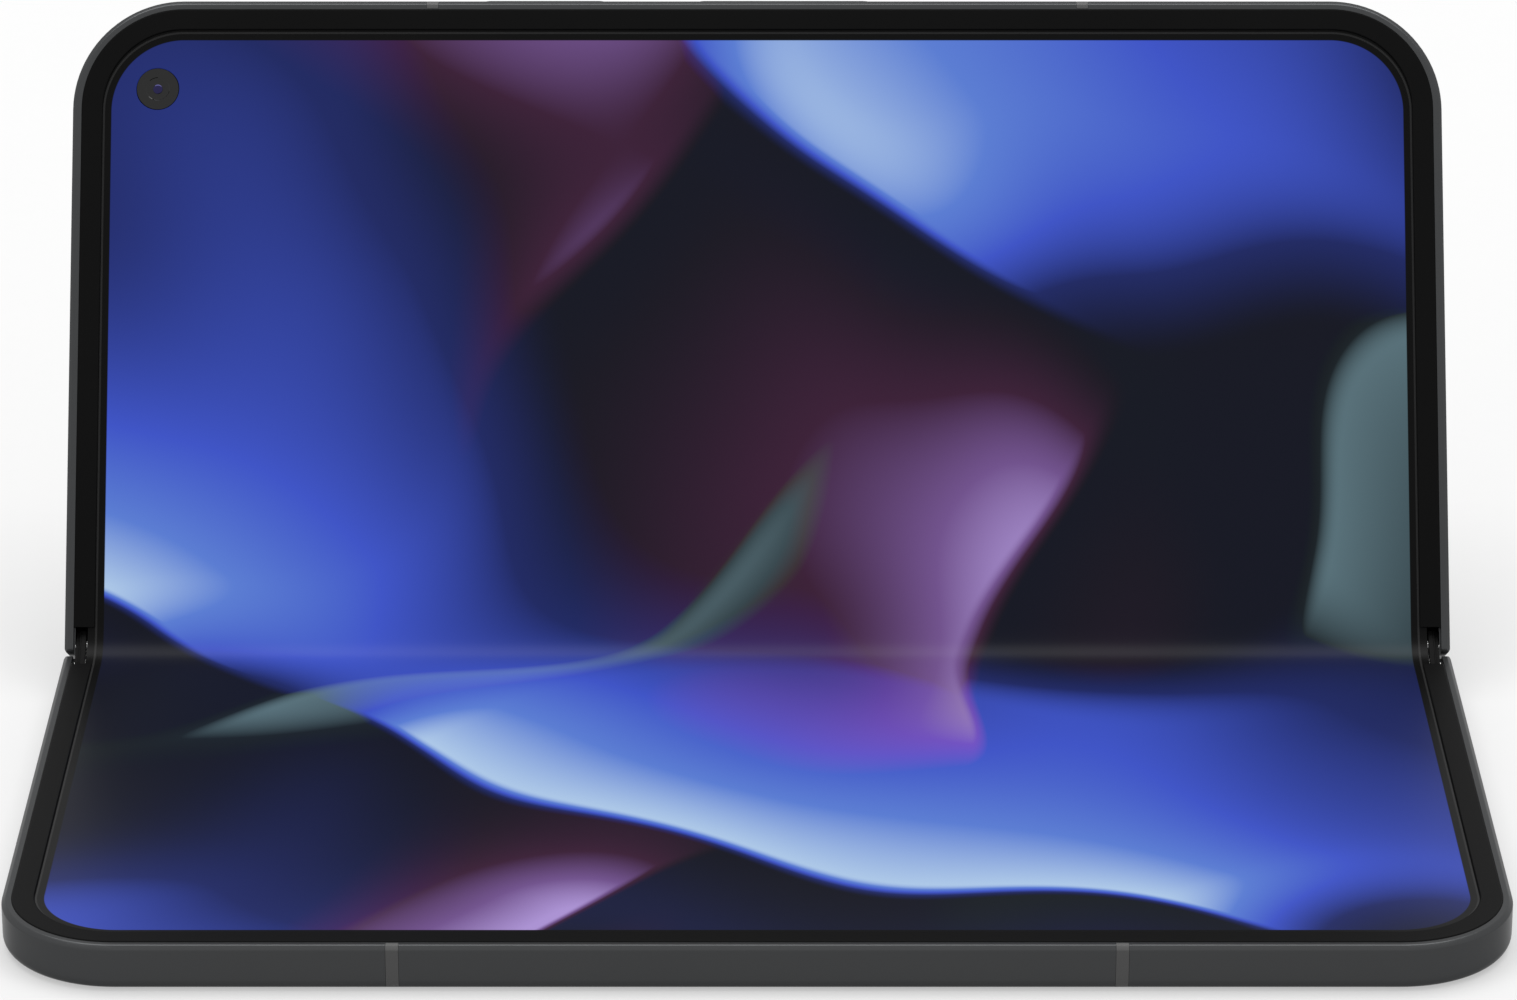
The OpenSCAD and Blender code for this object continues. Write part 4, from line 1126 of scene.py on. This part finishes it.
def inner_camera_window():
    """The small camera behind its hole in the screen: dark glass, a sunk ring and a lens."""
    x, y, _ = INNER_CAMERA
    window = turned("inner_window", x, y, profile(INNER_RIM + INNER_SINK, WINDOW_FACE))
    fit(window, "upper_half", "upper_half", "camera_cover", ["inner_camera"], 30)
    front = turned("inner_front", x, y, crowned(INNER_FRONT, WINDOW_FACE, INNER_RISE))
    fit(front, "upper_half", "upper_half", "lens_front", sharp=30)


# ---- The outer faces ----

GLASS_INSET = 1.53 * MM
GLASS_TOP = -4.5 * MM
GLASS_GAP = 0.03 * MM
GLASS_EDGE = 0.12 * MM
COVER_CAMERA = (0.0, 66.7 * MM, 2.2 * MM)
COVER_CAMERA_SINK = 0.12 * MM
COVER_LENS_FACE = -THICK + 0.03 * MM
COVER_LENS = ((2.16, 0.30), (2.16, 0.03), (2.12, 0), (1.20, 0), (1.12, 0.07), (0.90, 0.09))
COVER_DOME = (0.88 * MM, COVER_LENS_FACE + 0.08 * MM, -0.07 * MM)


def outer_plate(name):
    """A glass plate set into a frame's outer face, with a rounded edge."""
    plate = half_plate(name, GLASS_INSET, HINGE_STRIP + GLASS_GAP, -THICK, GLASS_TOP)
    soften(plate, level(-THICK), GLASS_EDGE, 3)
    return plate


def cover_window():
    """The outer glass of the lower half, and its small camera."""
    plate = outer_plate("cover_window")
    x, y, radius = COVER_CAMERA
    carve(plate, rod("camera_hole", radius, (x, y, -THICK - OVER), (x, y, -THICK + COVER_CAMERA_SINK), 64))
    fit(plate, "lower_half", "lower_half", "outer_glass", ["cover_glass"])
    steps = profile(COVER_LENS, COVER_LENS_FACE) + dome(*COVER_DOME)
    fit(turned("cover_lens", x, y, steps), "lower_half", "lower_half", "camera_cover", sharp=30)


ISLAND = (-49.0 * MM, 49.1 * MM)
ISLAND_SIZE = (44 * MM, 40 * MM)
ISLAND_CORNER = 9 * MM
ISLAND_FACE = -6.7 * MM
ISLAND_ROUND = 0.5 * MM
ISLAND_RIM = 2.5 * MM
ISLAND_GLASS = -6.45 * MM
ISLAND_GLASS_GAP = 0.06 * MM
ISLAND_GLASS_EDGE = 0.08 * MM
LENS_OFF = 9.25 * MM
LENS_FLOOR = -6.2 * MM
BODY_HOLES = (6.2 * MM, 2.4 * MM)
GLASS_HOLES = (6.0 * MM, 2.3 * MM)
LENSES = [(ISLAND[0] + i * LENS_OFF, ISLAND[1] + j * LENS_OFF) for i, j in ((-1, 1), (-1, -1), (1, 1))]
FLASH = (ISLAND[0] + LENS_OFF, ISLAND[1] - LENS_OFF)


def island_plate(name, inset, low, high):
    """A plate with the island's plan, drawn in all round."""
    half_x, half_y = ISLAND_SIZE[0] / 2 - inset, ISLAND_SIZE[1] / 2 - inset
    x = (ISLAND[0] - half_x, ISLAND[0] + half_x)
    y = (ISLAND[1] - half_y, ISLAND[1] + half_y)
    plate = block(name, x, y, (low, high))
    soften(plate, upright, ISLAND_CORNER - inset, 16)
    return plate


def island_drills(radii, low, high):
    """Drills at the three lenses and the flash."""
    radius, flash_radius = radii
    holes = [rod("drill", radius, (x, y, low), (x, y, high)) for x, y in LENSES]
    holes.append(rod("drill", flash_radius, (*FLASH, low), (*FLASH, high)))
    return join(*holes)


def back_window():
    """The matt glass back, open under the camera island."""
    plate = outer_plate("back_window")
    carve(plate, island_drills(BODY_HOLES, -THICK - OVER, GLASS_TOP + OVER))
    fit(plate, "upper_half", "upper_half", "back_glass", ["back_glass"])


def island_body():
    """The raised metal island with a rounded shoulder and a shallow tray for its glass."""
    body = island_plate("island_body", 0, ISLAND_FACE, -THICK)
    soften(body, level(ISLAND_FACE), ISLAND_ROUND, 6)
    tray = island_plate("island_tray", ISLAND_RIM, ISLAND_FACE - OVER, LENS_FLOOR + 0.02 * MM)
    carve(body, tray, island_drills(BODY_HOLES, -THICK - 2 * OVER, GLASS_TOP))

    def tray_edge(edge):
        ends = [corner.co for corner in edge.verts]
        near = all(abs(end.x - ISLAND[0]) < ISLAND_SIZE[0] / 2 - ISLAND_RIM + SNAP for end in ends)
        return near and all(abs(end.z - ISLAND_FACE) < SNAP for end in ends)

    soften(body, tray_edge, EDGE_ROUND, 3)
    fit(body, "upper_half", "upper_half", "island_metal", ["camera_island"])


def island_glass():
    """The dark glass in the island, open at the lenses and the flash."""
    plate = island_plate("island_glass", ISLAND_RIM + ISLAND_GLASS_GAP, ISLAND_GLASS, LENS_FLOOR)
    soften(plate, level(ISLAND_GLASS), ISLAND_GLASS_EDGE, 3)
    carve(plate, island_drills(GLASS_HOLES, ISLAND_FACE - OVER, -THICK))
    fit(plate, "upper_half", "upper_half", "camera_cover", ["camera_glass"])


# A rear camera has a bright ring, a black body with steps and a lip, and a front element whose
# radius is its opening. The lip is given by how far it lies outside the opening.
LENS_RING = ((5.97, -6.22), (5.97, -6.58), (5.85, -6.66), (5.35, -6.66), (5.22, -6.60), (5.15, -6.30))
LENS_BODY = ((5.12, -6.28), (5.12, -6.50), (4.40, -6.50), (4.30, -6.40), (3.60, -6.40), (3.50, -6.34))
LENS_LIP = ((0.30, -6.32), (0.20, -6.36), (0.02, -6.36))
LENS_FRONT = (-6.35, -6.37)
LENS_RISE = -0.20 * MM
LENS_SIDES = 96
OPENINGS = {"main": 2.6, "wide": 2.2, "zoom": 1.9}


def rear_lens(name, x, y, opening):
    """One rear camera: a bright ring, black steps inside it and a domed front element."""
    ring = turned(name + "_ring", x, y, profile(LENS_RING), LENS_SIDES)
    fit(ring, "upper_half", "upper_half", "island_metal", sharp=30)
    lip = tuple((opening + beyond, level_z) for beyond, level_z in LENS_LIP)
    body = turned(name + "_lens", x, y, profile(LENS_BODY + lip), LENS_SIDES)
    fit(body, "upper_half", "upper_half", "camera_body", sharp=25)
    steps = crowned([(opening, level_z) for level_z in LENS_FRONT], 0, LENS_RISE)
    front = turned(name + "_front", x, y, steps, LENS_SIDES)
    fit(front, "upper_half", "upper_half", "lens_front", sharp=30)


def rear_lenses():
    for (name, opening), (x, y) in zip(OPENINGS.items(), LENSES):
        rear_lens(name, x, y, opening)


FLASH_EDGE = [(2.25, -6.22), (2.25, -6.46), (2.15, -6.50)]
FLASH_RING_RADII = (1.9, 1.6, 1.3, 1.0, 0.7, 0.4)
FLASH_RING_W = 0.04
FLASH_RING_Z = (-6.44, -6.49)


def flash_window():
    """The flash's lens, with fine rings pressed into it."""
    points = list(FLASH_EDGE)
    for radius in FLASH_RING_RADII:
        points += [(radius, FLASH_RING_Z[0]), (radius - FLASH_RING_W, FLASH_RING_Z[1])]
    lens = turned("flash_window", *FLASH, profile(points))
    fit(lens, "upper_half", "upper_half", "flash_lens", sharp=20)


# ---- Keys, tray and socket ----

OVERLAP = 0.02 * MM
KEY_ROUND = 0.22 * MM
FLANGE_T = 0.4 * MM
FLANGE_OUT = 1.2 * MM


def side_key(name, x, length):
    """A key with round ends, a softened face and a flange that holds it in the wall."""
    inner = DEPTH - WALL - WALL_OVERLAP
    face = DEPTH + KEY_PROUD
    key = slot_bar(name + "_cap", "x", x, KEY_Z, length, KEY_W, (inner, face))
    soften(key, lambda e: all(abs(c.co.y - face) < SNAP for c in e.verts), KEY_ROUND, 5)
    flange_y = (inner - FLANGE_T, inner + OVERLAP)
    carve(key, slot_bar("flange", "x", x, KEY_Z, length + FLANGE_OUT, KEY_W, flange_y), operation="UNION")
    fit(key, name, "upper_half", "key_metal", [name])


# The tray's depth behind the wall, its plate's half width and half thickness, and its pocket.
TRAY_DEEP = 17 * MM
TRAY_SINK = 0.02 * MM
TRAY_EDGE = 0.06 * MM
TRAY_HALF = (6.15 * MM, 0.4 * MM)
TRAY_CORNER = 1.2 * MM
POCKET_HALF = 4.6 * MM
POCKET_SPAN = (1 * MM, 6 * MM)
POCKET_Z = -0.2 * MM
POCKET_CORNER = 0.8 * MM


def card_tray():
    """The SIM tray: its face in the wall, and a thin plate with a pocket for the card."""
    z = SIDE_Z["lower"]
    wall_x = HALF_LEN - WALL
    inner, outer = wall_x + WALL_OVERLAP, HALF_LEN - TRAY_SINK
    deep = wall_x - TRAY_DEEP
    tray = slot_bar("card_tray", "y", MIDDLE_Y, z, *TRAY_FACE, (inner, outer))
    soften(tray, lambda e: all(abs(c.co.x - outer) < SNAP for c in e.verts), TRAY_EDGE, 2)
    wide, thin = TRAY_HALF
    plate = block("plate", (deep, inner + OVERLAP), (MIDDLE_Y - wide, MIDDLE_Y + wide), (z - thin, z + thin))
    soften(plate, lambda e: upright(e) and e.verts[0].co.x < deep + SNAP, TRAY_CORNER, 6)
    carve(tray, plate, operation="UNION")
    x = (deep + POCKET_SPAN[0], wall_x - POCKET_SPAN[1])
    pocket = block("pocket", x, (MIDDLE_Y - POCKET_HALF, MIDDLE_Y + POCKET_HALF), (z + POCKET_Z, z + OVER))
    soften(pocket, upright, POCKET_CORNER, 5)
    carve(tray, pocket)
    fit(tray, "sim_tray", "lower_half", "graphite_frame", ["sim_tray"])


SOCKET_MOUTH = HALF_LEN - 0.06 * MM
SOCKET_BACK = HALF_LEN - 7.35 * MM
SOCKET_WALL = 0.4 * MM
SOCKET_EDGE = 0.06 * MM
BOARD_START = 50 * MM
BOARD_HALF = (8 * MM, 0.3 * MM)
TONGUE_TIP = HALF_LEN - 1.3 * MM
TONGUE_HALF = (3.3 * MM, 0.35 * MM)
TONGUE_EDGE = 0.15 * MM
PAD_COUNT = 12
PAD_PITCH = 0.5 * MM
PAD_HALF = (0.13 * MM, 0.02 * MM)
PAD_SPAN = (SOCKET_BACK + 1 * MM, TONGUE_TIP - 0.4 * MM)


def centred_block(name, x, y, z, half):
    """A block about a level line, with its half width and half thickness."""
    wide, thin = half
    return block(name, x, (y - wide, y + wide), (z - thin, z + thin))


def contact_pads(z):
    """The rows of contacts on the two faces of the tongue."""
    level_z = TONGUE_HALF[1]
    first_y = MIDDLE_Y - (PAD_COUNT - 1) / 2 * PAD_PITCH
    pad = centred_block("pad", PAD_SPAN, first_y, z - level_z, PAD_HALF)
    low_row = join(pad, *[moved_copy(pad, (0, step * PAD_PITCH, 0)) for step in range(1, PAD_COUNT)])
    high_row = moved_copy(low_row, (0, 0, 2 * level_z))
    return join(low_row, high_row)


def charging_socket():
    """The charging socket: a drawn steel shell, its tongue and the contacts on it."""
    z = SIDE_Z["upper"]
    size = (PORT[0] + 2 * PORT_SHELL, PORT[1] + 2 * PORT_SHELL)
    shell = slot_bar("socket_shell", "y", MIDDLE_Y, z, *size, (SOCKET_BACK - SOCKET_WALL, SOCKET_MOUTH))
    pick(shell, "FACE", lambda face: face.normal.x > 0.9)
    bpy.ops.mesh.inset(thickness=PORT_SHELL)
    bpy.ops.mesh.extrude_region_move(TRANSFORM_OT_translate={"value": (SOCKET_BACK - SOCKET_MOUTH, 0, 0)})
    done()
    soften(shell, lambda e: all(abs(c.co.x - SOCKET_MOUTH) < SNAP for c in e.verts), SOCKET_EDGE, 2)
    tongue = centred_block("tongue", (SOCKET_BACK - GAP, TONGUE_TIP), MIDDLE_Y, z, TONGUE_HALF)
    soften(tongue, lambda e: all(abs(c.co.x - TONGUE_TIP) < SNAP for c in e.verts), TONGUE_EDGE, 3)
    board = centred_block("board", (BOARD_START, SOCKET_BACK - 3 * GAP), MIDDLE_Y, z, BOARD_HALF)
    fit(join(shell, board), "upper_half", "upper_half", "steel", ["usb_socket"])
    fit(tongue, "upper_half", "upper_half", "speaker_black")
    fit(contact_pads(z), "upper_half", "upper_half", "coil_copper")


# ---- The spine ----

SPINE_TOP = -PIVOT_H - 0.05 * MM
ARM_SLOTS_X = (-46 * MM, 0, 46 * MM)
ARM_OFF = 3.5 * MM
ARM_SLOT_HALF = 2.1 * MM
ARM_SLOT_Z = -2.35 * MM
STRIP_IN = 0.5 * MM
STRIP_T = 0.26 * MM
STRIP_ROUND = 0.08 * MM
PIN_R = 0.4 * MM


def spine_bar(name, x, radius):
    """A bar with the spine's section: two rounds about the pivots, with a flat between them."""
    low = -PIVOT_H - radius
    bar = block(name, x, (-PIVOT_A - radius, PIVOT_A + radius), (low, -PIVOT_H + GAP))

    def bottom_edge(edge):
        first, second = [corner.co for corner in edge.verts]
        return max(first.z, second.z) < low + SNAP and abs(first.x - second.x) > SNAP

    soften(bar, bottom_edge, radius - SNAP, 40)
    return bar


def topped_bar(name, x):
    """A spine bar at its full size, cut off level at its top."""
    bar = spine_bar(name, x, SPINE_R)
    side = SPINE_R + PIVOT_A + OVER
    carve(bar, block("above", (x[0] - OVER, x[1] + OVER), (-side, side), (SPINE_TOP, OVER)))
    return bar


def spine_shell():
    """The hollow cover that shows between the halves from behind, with slots for the guide arms."""
    shell = topped_bar("spine_shell", (-CAP_IN, CAP_IN))
    reach = CAP_IN + OVER
    carve(shell, spine_bar("hollow", (-reach, reach), SPINE_R - SPINE_WALL))
    for middle in ARM_SLOTS_X:
        for side in (-1, 1):
            x = middle + side * ARM_OFF
            y = sorted((0, side * 2 * SPINE_R))
            carve(shell, block("slot", (x - ARM_SLOT_HALF, x + ARM_SLOT_HALF), y, (ARM_SLOT_Z, OVER)))
    fit(shell, "spine", "spine", "spine_metal", ["spine_cover"])


def cap_blank(name):
    """An end cap with the strip that shows between the rims, and its holes for the pivot pins."""
    cap = topped_bar(name, (CAP_IN, CAP_OUT))
    y = (-STRIP_HALF, STRIP_HALF)
    web = block("web", (CAP_IN, CAP_OUT), y, (SPINE_TOP - GAP, LIP_Z - STRIP_STEP))
    riser = block("riser", (CAP_IN, STRIP_OUT), y, (SPINE_TOP - GAP, LIP_Z))
    strip = block("strip", (CAP_IN - STRIP_IN, CAP_IN + GAP), y, (LIP_Z - STRIP_T, LIP_Z))
    carve(cap, web, riser, strip, operation="UNION")
    soften(cap, level(LIP_Z), STRIP_ROUND, 3)
    start, end = CAP_IN - OVER, CAP_OUT + OVER
    for y in (-PIVOT_A, PIVOT_A):
        carve(cap, rod("pin_hole", PIN_R, (start, y, -PIVOT_H), (end, y, -PIVOT_H), 32))
    return cap


def end_caps():
    """The caps that close the spine: one is made, and its copy is turned over to the other end."""
    right = cap_blank("right_cap")
    left = mirrored(twin(right, "left_cap"))
    fit(right, "spine", "spine", "cap_plastic", ["right_end_cap"])
    fit(left, "spine", "spine", "cap_plastic", ["left_end_cap"])


# ---- Pieces that keep their shape from the frame ----


def dress_frame_nodes():
    """Give every piece that keeps its own mesh the finish of its slot."""
    slots = {part["node"]: part["material_slot"] for part in frame["record"]["subparts"]}
    for name, piece in frame["nodes"].items():
        piece.data.materials.clear()
        piece.data.materials.append(FINISHES[slots[name]])


# ---- Stage, light and camera ----

CAMERA_AT = (0.00013, -0.60837, 0.28285)
CAMERA_TILT = 68.116
CAMERA_LENS = 148.97
SENSOR_WIDTH = 36.0
CLIP_START = 0.01
FLOOR_SIZE = 8.0
FLOOR_GAP = 0.02 * MM
FLOOR_GRAIN = 400.0
FLOOR_SHADE = (0.325, 0.335)
FLOOR_GLOW = (0.435, 0.705)
LIGHT_SIZE = (1.2, 0.70)
LIGHT_AT = (0.0, 0.18, 0.95)
LIGHT_POWER = 10.0
LIGHT_FADE = 1.7
ROOM_LIGHT = 0.80


def floor_finish():
    """Pale and matt, with a glow that grows with the distance so that the tone stays even."""
    tree, surface = shader("pale_floor", Specular_IOR_Level=0.0, Emission_Strength=1.0)
    dark, light = [grey(shade) for shade in FLOOR_SHADE]
    feed(tree, surface, use(tree, GRAIN, Scale=FLOOR_GRAIN, Dark=dark, Light=light, Smooth=0.8, Rough=0.9))
    place = node(tree, "TexCoord").outputs["Object"]
    far = node(tree, "VectorMath", ((0, place),), operation="LENGTH").outputs["Value"]
    glow = ranged(tree, eased(tree, far, 0.0, LIGHT_FADE), *FLOOR_GLOW)
    tree.links.new(glow, surface["Emission Color"])
    clear_from_below(tree)


def clear_from_below(tree):
    """Let a view from under the floor pass through it."""
    below = node(tree, "NewGeometry").outputs["Backfacing"]
    pale = tree.nodes["Principled BSDF"].outputs[0]
    clear = node(tree, "BsdfTransparent").outputs[0]
    either = node(tree, "MixShader", ((0, below), (1, pale), (2, clear)))
    tree.links.new(either.outputs[0], tree.nodes["Material Output"].inputs["Surface"])


def pale_floor():
    """The pale surface that the object stands on, a hair under it."""
    bpy.ops.mesh.primitive_plane_add(size=FLOOR_SIZE, location=(0, 0, -FLOOR_GAP))
    floor = bpy.context.object
    floor.name = "floor"
    floor_finish()
    floor.data.materials.append(FINISHES["pale_floor"])


def soft_light():
    """One wide soft light over the object."""
    bpy.ops.object.light_add(type="AREA", location=LIGHT_AT)
    light = bpy.context.object
    light.name = "soft_light"
    light.data.shape = "RECTANGLE"
    light.data.size, light.data.size_y = LIGHT_SIZE
    light.data.energy = LIGHT_POWER


def pale_room():
    """An even pale room: white where it is seen, also in metal and glass, and softer as light."""
    world = bpy.data.worlds.new("pale_room")
    bpy.context.scene.world = world
    world.use_nodes = True
    tree = world.node_tree
    tree.nodes.clear()
    path = node(tree, "LightPath").outputs
    seen = maths(tree, "MAXIMUM", path["Is Camera Ray"], path["Is Transmission Ray"])
    shown = maths(tree, "MAXIMUM", seen, path["Is Glossy Ray"])
    strength = maths(tree, "MAXIMUM", shown, ROOM_LIGHT)
    light = node(tree, "Background", ((0, grey(1.0)), (1, strength)))
    node(tree, "OutputWorld", ((0, light.outputs[0]),))


def stage_camera():
    """The camera at the angle that fits the object's outline."""
    bpy.ops.object.camera_add(location=CAMERA_AT, rotation=(math.radians(CAMERA_TILT), 0, 0))
    camera = bpy.context.object
    camera.data.lens = CAMERA_LENS
    camera.data.sensor_width = SENSOR_WIDTH
    camera.data.clip_start = CLIP_START
    bpy.context.scene.camera = camera


lower_frame_shell()
upper_frame_shell()
antenna_seams()
bezel_rims()
folding_screen()
hinge_cable()
inner_camera_window()
cover_window()
back_window()
island_body()
island_glass()
rear_lenses()
flash_window()
side_key("power_key", *POWER_KEY)
side_key("volume_key", *VOLUME_KEY)
card_tray()
charging_socket()
spine_shell()
end_caps()
dress_frame_nodes()
pale_floor()
soft_light()
pale_room()
stage_camera()

bpy.context.scene.view_settings.view_transform = "Standard"
